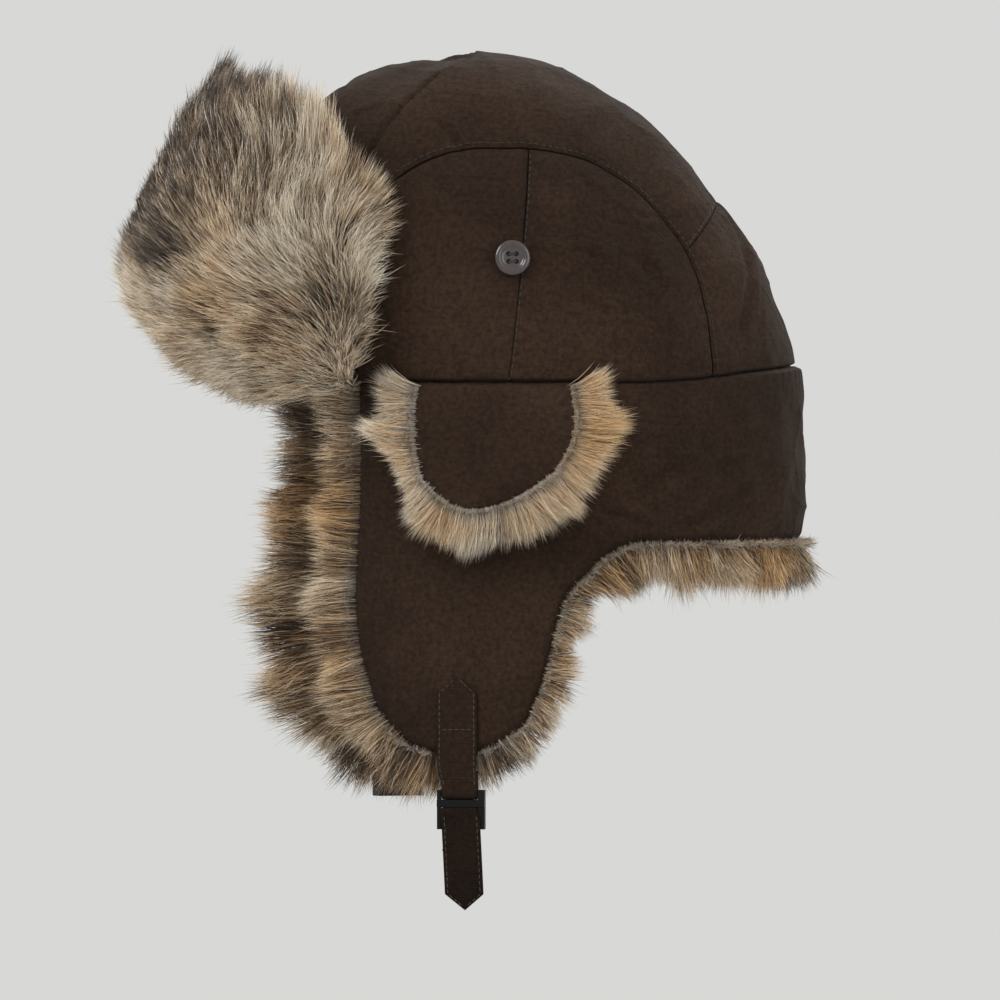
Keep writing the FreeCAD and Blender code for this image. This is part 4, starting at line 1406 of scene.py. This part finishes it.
def wool_slab(name, flat, near, far, seed, follow, replaced):
    """Uneven closed bed of short wool under the strands, whose dark colour also paints the shade
    between them.
    """
    lump = 1.0 * ripples(flat, 11, seed) + 0.6 * ripples(flat, 5, seed + 1)
    top, _ = skirt(flat, np.full(flat.shape[:-1], near))
    low, _ = skirt(flat, far + lump)
    both(cloth_object(name, [slab(top, low)], WOOL_AND_SHADE), follow, *replaced)


def skirt_fur():
    """Strands and wool inside the ear flaps and both kinds of curtain."""
    ear, curtain, neck = ear_patch(), curtain_patch(), neck_patch()
    side_line = OUTLINE[OUTLINE[:, 0] <= along(CUT_LINE) + 0.01]
    neck_line = np.concatenate([curtain(0.9 + 0.1 * T[::8], np.ones(30)),
                                neck(T, np.ones_like(T))])
    furs = ["SIDE_ear_flap_fur", "SIDE_side_curtain_fur"]
    skirt_fur_part("skirt_fur", [ear, curtain], side_line, [8800, 4600, 13600], 101,
                   follow_ear, furs, skip_vent=True)
    skirt_fur_part("neck_fur", [neck], neck_line, [4000, 7200], 111, follow_neck,
                   ["neck_curtain_fur"], length=18.5)
    rows = np.linspace(0, 1, 90)
    for label, patch, columns in (("ear", ear, 70), ("curtain", curtain, 50)):
        u, v = np.meshgrid(np.linspace(0.03 if label == "ear" else 0, 1, columns),
                           rows * 0.985, indexing="ij")
        wool_slab(label + "_wool", patch(u, v), CLOTH - 0.4, CLOTH + WOOL_DEPTH, 121,
                  follow_ear, furs)
    u, v = np.meshgrid(np.linspace(0, 1, 50), rows * 0.985, indexing="ij")
    wool_slab("neck_wool", neck(u, v), CLOTH - 0.4, CLOTH + WOOL_DEPTH, 131, follow_neck,
              ["neck_curtain_fur"])


def cover_fur():
    """Fringe round the cover's edge, and short fur and wool under it."""
    rng = np.random.default_rng(201)
    line = cover_outline()
    patch = cover_patch()
    rim, way = rim_roots(line, 9000, rng, 4.0)
    inner = scatter(patch, 4000, rng)
    flow = np.tile(np.array([[0.0, -1.0]]), (len(inner), 1))
    flat, heading = np.concatenate([rim, inner]), np.concatenate([way, flow])
    ahead, normal = spread_out(flat, heading)
    sway = spread_out(flat, np.stack([-heading[:, 1], heading[:, 0]], -1))[0]
    bend = (0.55 * ripples(flat, 22, 203))[:, None]
    rise = rng.uniform(-0.15, 0.42, (len(flat), 1))
    rise[len(rim):] = -0.3
    stand = cover_stand(flat) + rng.uniform(-0.2, 2.2, len(flat))
    under = cover_stand(flat[len(rim):])
    stand[len(rim):] = under - np.minimum(2.8, 0.7 * under)
    root, _ = skirt(flat, -stand)
    start = ahead + normal * rise * 0.8
    finish = ahead * 1.0 + sway * bend + normal * (rise * 0.35 - 0.1)
    y = np.interp(flat[:, 0], ALONG, PLAN[:, 1])
    short = np.exp(-((y - COVER_CENTRE + 33) / 9) ** 2 - ((flat[:, 1] + 46) / 11) ** 2)
    long = 25.5 * (1 + 0.12 * ripples(flat, 20, 204)) * (1 - 0.5 * short)
    long[len(rim):] = 9.0
    tone = -0.06 + 0.12 * ripples(flat, 22, 205) + 0.10 * ripples(flat, 9, 206)
    warmth = (0.34 + 0.45 * smooth(COVER_CENTRE + 8, COVER_CENTRE + 40, y)
              + 0.2 * ripples(flat, 30, 207))
    pieces = fur("ear_cover_fur_fringe", root, start, finish, long, tone, warmth, 208)
    pieces += fuzz("ear_cover_fuzz", line, 1700, lambda p: -1.0 - cover_stand(p), rng, 210, 8.0)
    for piece in pieces:
        both(piece, ride_cover, "SIDE_ear_cover_fur")
    flat = flat_grid(patch, 50, np.linspace(0, 1, 50))
    lump = 0.5 * ripples(flat, 9, 209)
    low, _ = skirt(flat, -(np.maximum(cover_stand(flat) - 3.4, 0.9) + lump * 0.6))
    top, _ = skirt(flat, -(cover_stand(flat) - 0.1))
    both(cloth_object("ear_cover_wool", [slab(top, low)], WOOL_AND_SHADE), ride_cover,
         "SIDE_ear_cover_fur")


def flap_places(rng, count=42000, extra=6400):
    """Even random places on the front flap, and more of them along its edges."""
    across = rng.uniform(-1.0, 1.0, count * 2)
    rise = rng.uniform(0.0, 1.0, count * 2)
    keep = rng.random(count * 2) < flap_height(across) / FLAP_HEIGHT
    ends = rng.uniform(-1, 1, extra // 2)
    sides = rng.choice([-1.0, 1.0], extra // 2) * rng.uniform(0.95, 1.0, extra // 2)
    top = rng.uniform(0.94, 1.0, extra // 2)
    up = rng.uniform(0.0, 1.0, extra // 2)
    return (np.concatenate([across[keep][:count], ends, sides]),
            np.concatenate([rise[keep][:count], top, up]))


def flap_colour(points, across, rise):
    """Tone and warmth of the front flap's fur at each place."""
    def spot(middle, height, wide, tall):
        return np.exp(-((across - middle) / wide) ** 2 - ((rise - height) / tall) ** 2)

    streak = np.stack([across * FLAP_REACH + rise * 20, rise * 45, np.zeros_like(rise)], -1)
    low = smooth(0.45, 0.05, rise)
    dark_edge = (smooth(0.60, 0.44, across) * smooth(-0.6, -0.25, across)
                 * smooth(0.34, 0.46, rise))
    brown_crest = np.exp(-((across - 0.58) / 0.12) ** 2) * smooth(0.92, 0.99, rise)
    pale_middle = spot(0.74, 0.42, 0.13, 0.2)
    dark_patch = spot(0.60, 0.74, 0.12, 0.07)
    rust = spot(0.45, 0.30, 0.10, 0.12)
    tone = (0.24 + 0.17 * ripples(streak, 20, 304) + 0.14 * ripples(points, 11, 305)
            + 0.60 * dark_edge + 0.24 * dark_patch + 0.14 * rust + 0.2 * brown_crest
            - 0.13 * low - 0.12 * pale_middle)
    return tone, 0.15 + 0.12 * low + 0.35 * rust + 0.14 * ripples(points, 48, 306)


def flap_length(points, across, rise):
    """Length of the front flap's fur: longer at the crest and the sides, short in front."""
    crest = (smooth(0.74, 1.0, rise) * smooth(1.02, 0.8, np.abs(across))
             * (1 - 0.75 * np.exp(-(across / 0.3) ** 2)))
    front = (smooth(0.45, 0.15, across) * smooth(0.42, 0.58, rise)
             * smooth(0.90, 0.74, rise))
    sides = smooth(0.84, 0.98, np.abs(across)) * np.exp(-((rise - 0.42) / 0.26) ** 2)
    long = 23.5 * (1 + 0.16 * ripples(points, 30, 303)) * (1 + 0.45 * crest)
    return long * (1 - 0.4 * front) * (1 + 0.36 * sides)


def flap_fur():
    """Fur that fans out from beyond the front flap's two lower corners, over its wool."""
    rng = np.random.default_rng(301)
    across, rise = flap_places(rng)
    points = flap_point(across, rise)
    normal, side, up = flap_frame(across, rise)
    near = np.tanh(across / 0.22)
    flow = unit(side * ((np.abs(across) - 1.12) * 92 * near)[:, None]
                + up * ((rise + 0.12) * 118)[:, None])
    beyond = smooth(0.86, 1.0, rise)[:, None] * up + (
        smooth(0.90, 1.0, np.abs(across)) * near)[:, None] * side
    swirl = (0.35 * ripples(points, 55, 302))[:, None] * np.cross(normal, flow)
    start = normal * 0.68 + flow * 0.60 + beyond * 0.6
    finish = normal * 0.20 + flow * 0.95 + beyond * 0.8 + swirl
    root = points + normal * (CLOTH + rng.uniform(0.0, 3.5, len(across)))[:, None]
    pieces = fur("front_flap_fur_strands", root, start, finish,
                 flap_length(points, across, rise), *flap_colour(points, across, rise), 307,
                 radius=0.18, size=6)

    across, rise = flap_grid(0.99, 0.0, 0.99, 110, 80)
    points = flap_point(across, rise)
    normal, _, _ = flap_frame(across, rise)
    lump = 1.1 * ripples(points, 12, 308) + 0.7 * ripples(points, 5, 309)
    top = points + normal * (CLOTH + WOOL_DEPTH + lump)[..., None]
    low = points + normal * (CLOTH - 0.3)
    pieces.append(cloth_object("front_flap_wool", [slab(top, low)], WOOL_AND_SHADE))
    for piece in pieces:
        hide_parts("front_flap_fur")
        follow_front(piece)


# Straps, buckle, button and the rest ---------------------------------------------------

def strap_frame():
    """Foot and axes of the straps' frame: X out of the ear flap, Y along it, Z up."""
    foot, normal = skirt(np.array([along(STRAP_Y), 0.0]))
    return foot, np.array([normal, [-normal[1], normal[0], 0.0], [0, 0, 1.0]])


def strap_points(points):
    """Places in the straps' frame, as places on the hat."""
    foot, axes = strap_frame()
    return foot + points @ axes


def route(points, step=0.7):
    """Points every step or so along a line of (X, Z), with rounded corners."""
    line = curve(points)(np.linspace(0, 1, 900))
    reach = lengths(line)
    return at_length(np.linspace(0, reach[-1], int(reach[-1] / step)), reach, line)


def webbing(line, edges, thickness):
    """Rounded strap along a line of (X, Z). edges gives its two Y limits at each point."""
    across = np.sin(np.linspace(-np.pi / 2, np.pi / 2, 27))
    ahead = unit(np.gradient(line, axis=0))
    normal = np.stack([-ahead[:, 1], ahead[:, 0]], -1)
    low, high = edges
    y = (low + high)[:, None] / 2 + (high - low)[:, None] / 2 * across[None]
    inset = (high - low)[:, None] / 2 * (1 - np.abs(across))[None]
    end = np.minimum(np.arange(len(line)), np.arange(len(line))[::-1])[:, None] * 0.7
    inset = np.minimum(inset, end + 0.02)
    edge = 1 - np.clip(inset / 0.8, 0, 1)
    half = thickness / 2 * np.sqrt(np.maximum(1 - edge ** 2, 0.004))
    seam = 0.14 * np.exp(-((inset - 1.5) / 0.5) ** 2)
    sides = []
    for sign in (1, -1):
        place = line[:, None, :] + sign * (half - seam)[..., None] * normal[:, None, :]
        sides.append(np.stack([place[..., 0], y, place[..., 1]], -1))
    return slab(strap_points(sides[0]), strap_points(sides[1]))


def pointed(z, tip, height, low, high):
    """A strap's two edges at each Z, narrowing to its point."""
    share = np.clip((np.abs(z - tip) + 0.1) / height, 0.01, 1)
    middle = (low + high) / 2
    return middle + (low - middle) * share, middle + (high - middle) * share


def edge_rows(x, z, edges, inset=1.6):
    """Paths on a strap's front face, a little inside its two edges."""
    low, high = edges
    keep = high - low > 2 * inset + 1.0
    rows = []
    for y in (low + inset, high - inset):
        rows.append(np.stack([np.broadcast_to(x, z.shape), y, z], -1)[keep])
    return rows


def cross_row(x, y0, y1, z):
    """A path straight across a strap."""
    y = np.linspace(y0, y1, 40)
    return np.stack([np.full(40, x), y, np.full(40, z)], -1)


def sewn(name, rows):
    """Stitches along paths given in the straps' frame, on the straps' front face."""
    _, axes = strap_frame()
    parts = [stitches(strap_points(row), np.tile(axes[0], (len(row), 1)), 2.2, 0.8, 0.2,
                      0.06) for row in rows]
    obj = new_object(name, *join(parts), STRAP_THREAD)
    return obj


def follow_left_strap(obj):
    """Apply the piece's placement to its mesh."""
    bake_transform(obj)


def tab_shadow_line(tip, side):
    """Thin dark tube round a strap's sewn tab: a painted shadow line where the tab stands off the
    cloth.
    """
    half, foot = HALF_STRAP + 0.1, tip - TAB_LENGTH
    y = np.array([-half, -half, 0, half, half])
    z = np.array([foot, tip - TAB_POINT, tip + 0.2, tip - TAB_POINT, foot])
    t = np.concatenate([np.linspace(k, k + 1, 40)[:-1] for k in range(4)] + [[4.0]])
    line = np.stack([np.full(len(t), 0.9), np.interp(t, range(5), y),
                     np.interp(t, range(5), z)], -1)
    obj = new_object(side + "_tab_shadow_line", *tube(strap_points(line), 0.42, 6), TAIL)
    return obj


def left_strap():
    """One strap from its pointed tab on the flap, round the plug's bar and back up."""
    line = route([(1.35, LEFT_TAB_TIP), (1.35, -160), (1.3, -175), (1.45, -186), (1.35, -196),
                  (1.3, -202), (0.6, -205.6), (-0.9, -206.7), (-2.5, -205.6),
                  (-3.15, -203), (-3.15, -198), (-3.1, -193)])
    z = line[:, 1]
    turned = line[:, 0] < -0.9
    narrow = np.where(turned, 1.0, smooth(-190, -201, z))
    low = -HALF_STRAP + 2.2 * narrow
    high = HALF_STRAP + 0.3 * narrow
    past_tip = np.where(turned, z + 99, z)
    edges = pointed(past_tip, LEFT_TAB_TIP, TAB_POINT, low, high)
    obj = cloth_object("left_strap_cloth", [webbing(line, edges, 1.5)], STRAP)
    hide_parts("left_strap_tab", "left_strap")
    follow_left_strap(obj)
    front = (~turned) & (z > -201)
    rows = edge_rows(line[front, 0] + 0.75, z[front], (edges[0][front], edges[1][front]), 1.2)
    threads = sewn("left_strap_stitches",
                   rows + [cross_row(2.1, -7.6, 7.6, LEFT_TAB_TIP - TAB_SEAM)])
    follow_left_strap(threads)
    # The dark tube round the tab is a painted shadow line.
    follow_left_strap(tab_shadow_line(LEFT_TAB_TIP, "left"))


def left_tail():
    """The same strap's free end, forward through the plug's slot and down to its point."""
    line = route([(-3.6, -220), (-3.6, -216.5), (-2.9, -213.0), (-1.2, -211.8),
                  (0.2, -211.7)])
    edges = TAIL_EDGES[0] + 0 * line[:, 1], TAIL_EDGES[1] - 1.6 + 0 * line[:, 1]
    obj = cloth_object("left_strap_turn_cloth", [webbing(line, edges, 1.5)], TAIL)
    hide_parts("left_strap_turn")
    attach(obj, "left_buckle")

    line = route([(0.2, -211.7), (1.4, -211.7), (2.5, -211.9), (2.95, -214.5),
                  (2.7, -225), (2.5, -240), (2.6, -252), (2.6, TAIL_TIP)])
    z = line[:, 1]
    wide = smooth(-212, -217, z) * 1.6
    lean = 2.2 * (-216 - np.minimum(z, -216)) / 46
    edges = pointed(z, TAIL_TIP, 8.0, TAIL_EDGES[0] + lean, TAIL_EDGES[1] - 1.6 + wide + lean)
    obj = cloth_object("left_strap_tail_cloth", [webbing(line, edges, 1.3)], TAIL)
    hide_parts("left_strap_tail")
    follow_tail(obj)
    front = z < -215
    rows = edge_rows(line[front, 0] + 0.65, z[front], (edges[0][front], edges[1][front]))
    follow_tail(sewn("left_tail_stitches", rows))


def follow_tail(obj):
    """Apply the piece's placement to its mesh."""
    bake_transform(obj)


def right_tab_stitches():
    """Stitches and painted shadow line round the right strap's tab, which is a CAD piece."""
    tip = RIGHT_TAB_TIP
    z = np.linspace(tip, tip - TAB_LENGTH - 0.5, 160)
    half = HALF_STRAP + 0 * z
    rows = edge_rows(2.1, z, pointed(z, tip, TAB_POINT, -half, half))
    # The dark tube round the tab is a painted shadow line.
    for obj in (sewn("tab_stitches", rows + [cross_row(2.1, -8, 8, tip - TAB_SEAM)]),
                tab_shadow_line(tip, "tab")):
        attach(mirrored(obj, "right_" + obj.name), "right_ear_flap")
        bpy.data.objects.remove(obj)


def lathe(profile, sides=72):
    """Vertices and quads of (radius, height) points turned round the Z axis."""
    turn = np.linspace(0, 2 * np.pi, sides + 1)[:-1]
    radius, height = np.array(profile, float).T
    points = np.stack([radius[:, None] * np.cos(turn), radius[:, None] * np.sin(turn),
                       np.broadcast_to(height[:, None], (len(radius), sides))], -1)
    return points.reshape(-1, 3), wrapped(len(radius), sides)


def button_frame():
    """Foot and axes of the button's frame, of which Z points out of the cloth."""
    base = np.array([crown_half_width(*BUTTON), *BUTTON])
    out = crown_normal(base)
    side = unit(np.cross(out, np.array([0, 0, 1.0])))
    return base + out * 1.5, np.array([side, np.cross(out, side), out])


def button():
    """Four-hole button with a rounded rim and a dished middle."""
    rounded = route([(0.05, 0.0), (4.0, 0.0), (7.6, 0.05), (8.75, 0.7), (9.0, 1.6),
                     (8.5, 2.6), (7.4, 3.0), (6.3, 2.85), (5.4, 2.2), (4.6, 1.95),
                     (2.0, 1.9), (0.05, 1.9)], 0.35)
    foot, axes = button_frame()
    vertices, faces = lathe(rounded)
    obj = cloth_object("button_body", [(foot + vertices @ axes, faces)], BUTTON_PLASTIC)
    for x in (-HOLE_OFFSET, HOLE_OFFSET):
        for y in (-HOLE_OFFSET, HOLE_OFFSET):
            drill, sides = lathe([(0.01, -2), (1.2, -2), (1.2, 6), (0.01, 6)], 20)
            carve(obj, new_object("drill", foot + (drill + [x, y, 0]) @ axes, sides,
                                  BLACK_PLASTIC))
    threads = button_threads(foot, axes)
    both(obj, ride_crown, "SIDE_button")
    both(threads, ride_crown, "SIDE_button_thread")


def button_threads(foot, axes):
    """Two turns of thread across each pair of holes, and down through them."""
    rows = []
    for y in (-HOLE_OFFSET, HOLE_OFFSET):
        t = np.linspace(-1, 1, 30)
        path = np.stack([t * (HOLE_OFFSET + 0.3), y + 0.15 * np.sin(3 * t),
                         2.2 - 1.8 * np.abs(t) ** 5], -1)
        rows += [tube(foot + (path + [0, shift, 0]) @ axes, 0.3) for shift in (-0.3, 0.3)]
        for x in (-HOLE_OFFSET, HOLE_OFFSET):
            drop = np.array([[x, y, 2.0], [x, y, 0.5], [x * 0.8, y * 0.8, -1.8]])
            rows.append(tube(foot + drop @ axes, 0.65))
    threads = new_object("button_sewing", *join(rows), BUTTON_THREAD)
    return threads


def tube(path, radius, sides=8):
    """Vertices and quads of a thin tube along a path."""
    ahead = unit(np.gradient(path, axis=0))
    helper = np.array([0.3, 0.2, 0.93])
    side = unit(np.cross(ahead, helper))
    other = np.cross(ahead, side)
    turn = np.linspace(0, 2 * np.pi, sides + 1)[:-1]
    ring = (path[:, None] + radius * (side[:, None] * np.cos(turn)[:, None]
                                      + other[:, None] * np.sin(turn)[:, None]))
    return ring.reshape(-1, 3), wrapped(len(path), sides)


def carve(obj, cutter):
    """Take the cutter out of the object for good."""
    modifier = obj.modifiers.new("carve", "BOOLEAN")
    modifier.operation = "DIFFERENCE"
    modifier.solver = "EXACT"
    modifier.object = cutter
    evaluated = obj.evaluated_get(bpy.context.evaluated_depsgraph_get())
    obj.data = bpy.data.meshes.new_from_object(evaluated)
    obj.modifiers.clear()
    bpy.data.objects.remove(cutter)
    obj.data.shade_smooth()
    obj.data.set_sharp_from_angle(angle=math.radians(40))


# CAD pieces that show as they are: words in their names, material and edge radius
DRESSED = ((("buckle", "plug", "socket", "prong"), BLACK_PLASTIC, 0.35),
           (("strap",), STRAP, 0.4), (("thread",), BUTTON_THREAD, 0.1),
           (("loop", "elastic"), ELASTIC, 0.3))


def dress_cad():
    """Finish the CAD pieces that show as they are."""
    for name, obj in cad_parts.items():
        if obj.hide_render:
            continue
        for words, material, width in DRESSED:
            if any(word in name for word in words):
                obj.data.materials.clear()
                obj.data.materials.append(material)
                weld = obj.modifiers.new("weld", "WELD")
                weld.merge_threshold = 0.00001
                bevel = obj.modifiers.new("bevel", "BEVEL")
                bevel.width = width * MM
                bevel.segments = 3
                bevel.limit_method = "ANGLE"
                bevel.angle_limit = math.radians(35)
                bevel.harden_normals = True
                break


# Camera, light and floor ---------------------------------------------------------------

def stage():
    """Pale floor that fades into an even pale world, and four soft lights."""
    scene = bpy.context.scene
    scene.view_settings.view_transform = "Standard"
    pale = linear(216, 216, 214)
    world = bpy.data.worlds.new("studio")
    scene.world = world
    world.use_nodes = True
    background = world.node_tree.nodes["Background"]
    background.inputs["Color"].default_value = pale
    background.inputs["Strength"].default_value = 1.0

    n = Nodes("pale_floor")
    emission = n.add("Emission", {"Color": pale, "Strength": 1.0})
    place = n.add("SeparateXYZ", {"Vector": n.place()})
    reach = n.math("POWER", n.math("ADD", n.math("POWER", place.outputs["X"], 2.0),
                                   n.math("POWER", place.outputs["Y"], 2.0)), 0.5)
    far = n.value(reach, 0.45, 1.3, 0.0, 1.0)
    n.finish(linear(197, 197, 195), Roughness=0.9)
    mixed = n.add("MixShader", {0: far, 1: n.shader.outputs[0], 2: emission.outputs[0]})
    n.tree.links.new(mixed.outputs[0], n.tree.nodes["Material Output"].inputs["Surface"])
    bm = bmesh.new()
    bmesh.ops.create_circle(bm, cap_ends=True, segments=96, radius=30.0)
    mesh = bpy.data.meshes.new("floor")
    bm.to_mesh(mesh)
    bm.free()
    mesh.materials.append(n.material)
    floor = bpy.data.objects.new("floor", mesh)
    floor.location = (0, 0, CAD_BOX[0].z - 0.09)
    scene.collection.objects.link(floor)

    centre = Vector((0, -0.03, -0.05))
    for name, place, size, power_w in (
            ("key", (1.5, -1.6, 1.7), 1.2, 26), ("fill", (1.9, 1.5, 0.8), 1.6, 10),
            ("back", (-1.7, 0.8, 1.4), 1.4, 16), ("front", (-1.0, -2.0, 0.9), 1.4, 10)):
        light = bpy.data.lights.new(name, "AREA")
        light.size = size
        light.energy = power_w
        obj = bpy.data.objects.new(name, light)
        obj.location = place
        obj.rotation_euler = (centre - Vector(place)).to_track_quat("-Z", "Y").to_euler()
        scene.collection.objects.link(obj)


def camera():
    """A long lens, level with the hat, a little in front of its left side."""
    azimuth, elevation, distance = math.radians(81), math.radians(0.8), 12.0
    right = Vector((math.cos(azimuth), math.sin(azimuth), 0))
    back = Vector((math.sin(azimuth) * math.cos(elevation),
                   -math.cos(azimuth) * math.cos(elevation), math.sin(elevation)))
    target = Vector((0, 0, -0.060)) + right * -0.0205
    data = bpy.data.cameras.new("camera")
    data.sensor_width = 36
    data.lens = 36 * distance / 0.5
    data.clip_end = 100
    obj = bpy.data.objects.new("camera", data)
    obj.location = target + back * distance
    obj.rotation_euler = (-back).to_track_quat("-Z", "Y").to_euler()
    bpy.context.scene.collection.objects.link(obj)
    bpy.context.scene.camera = obj


# The hat, in the order that its pieces are made ----------------------------------------

crown_strip()
crown_sides()
crown_topstitch()
sweat_band()
skirt_cloth()
vent_binding()
ear_cover()
front_flap_cloth()
skirt_fur()
cover_fur()
flap_fur()
left_strap()
left_tail()
right_tab_stitches()
button()
dress_cad()
camera()
stage()
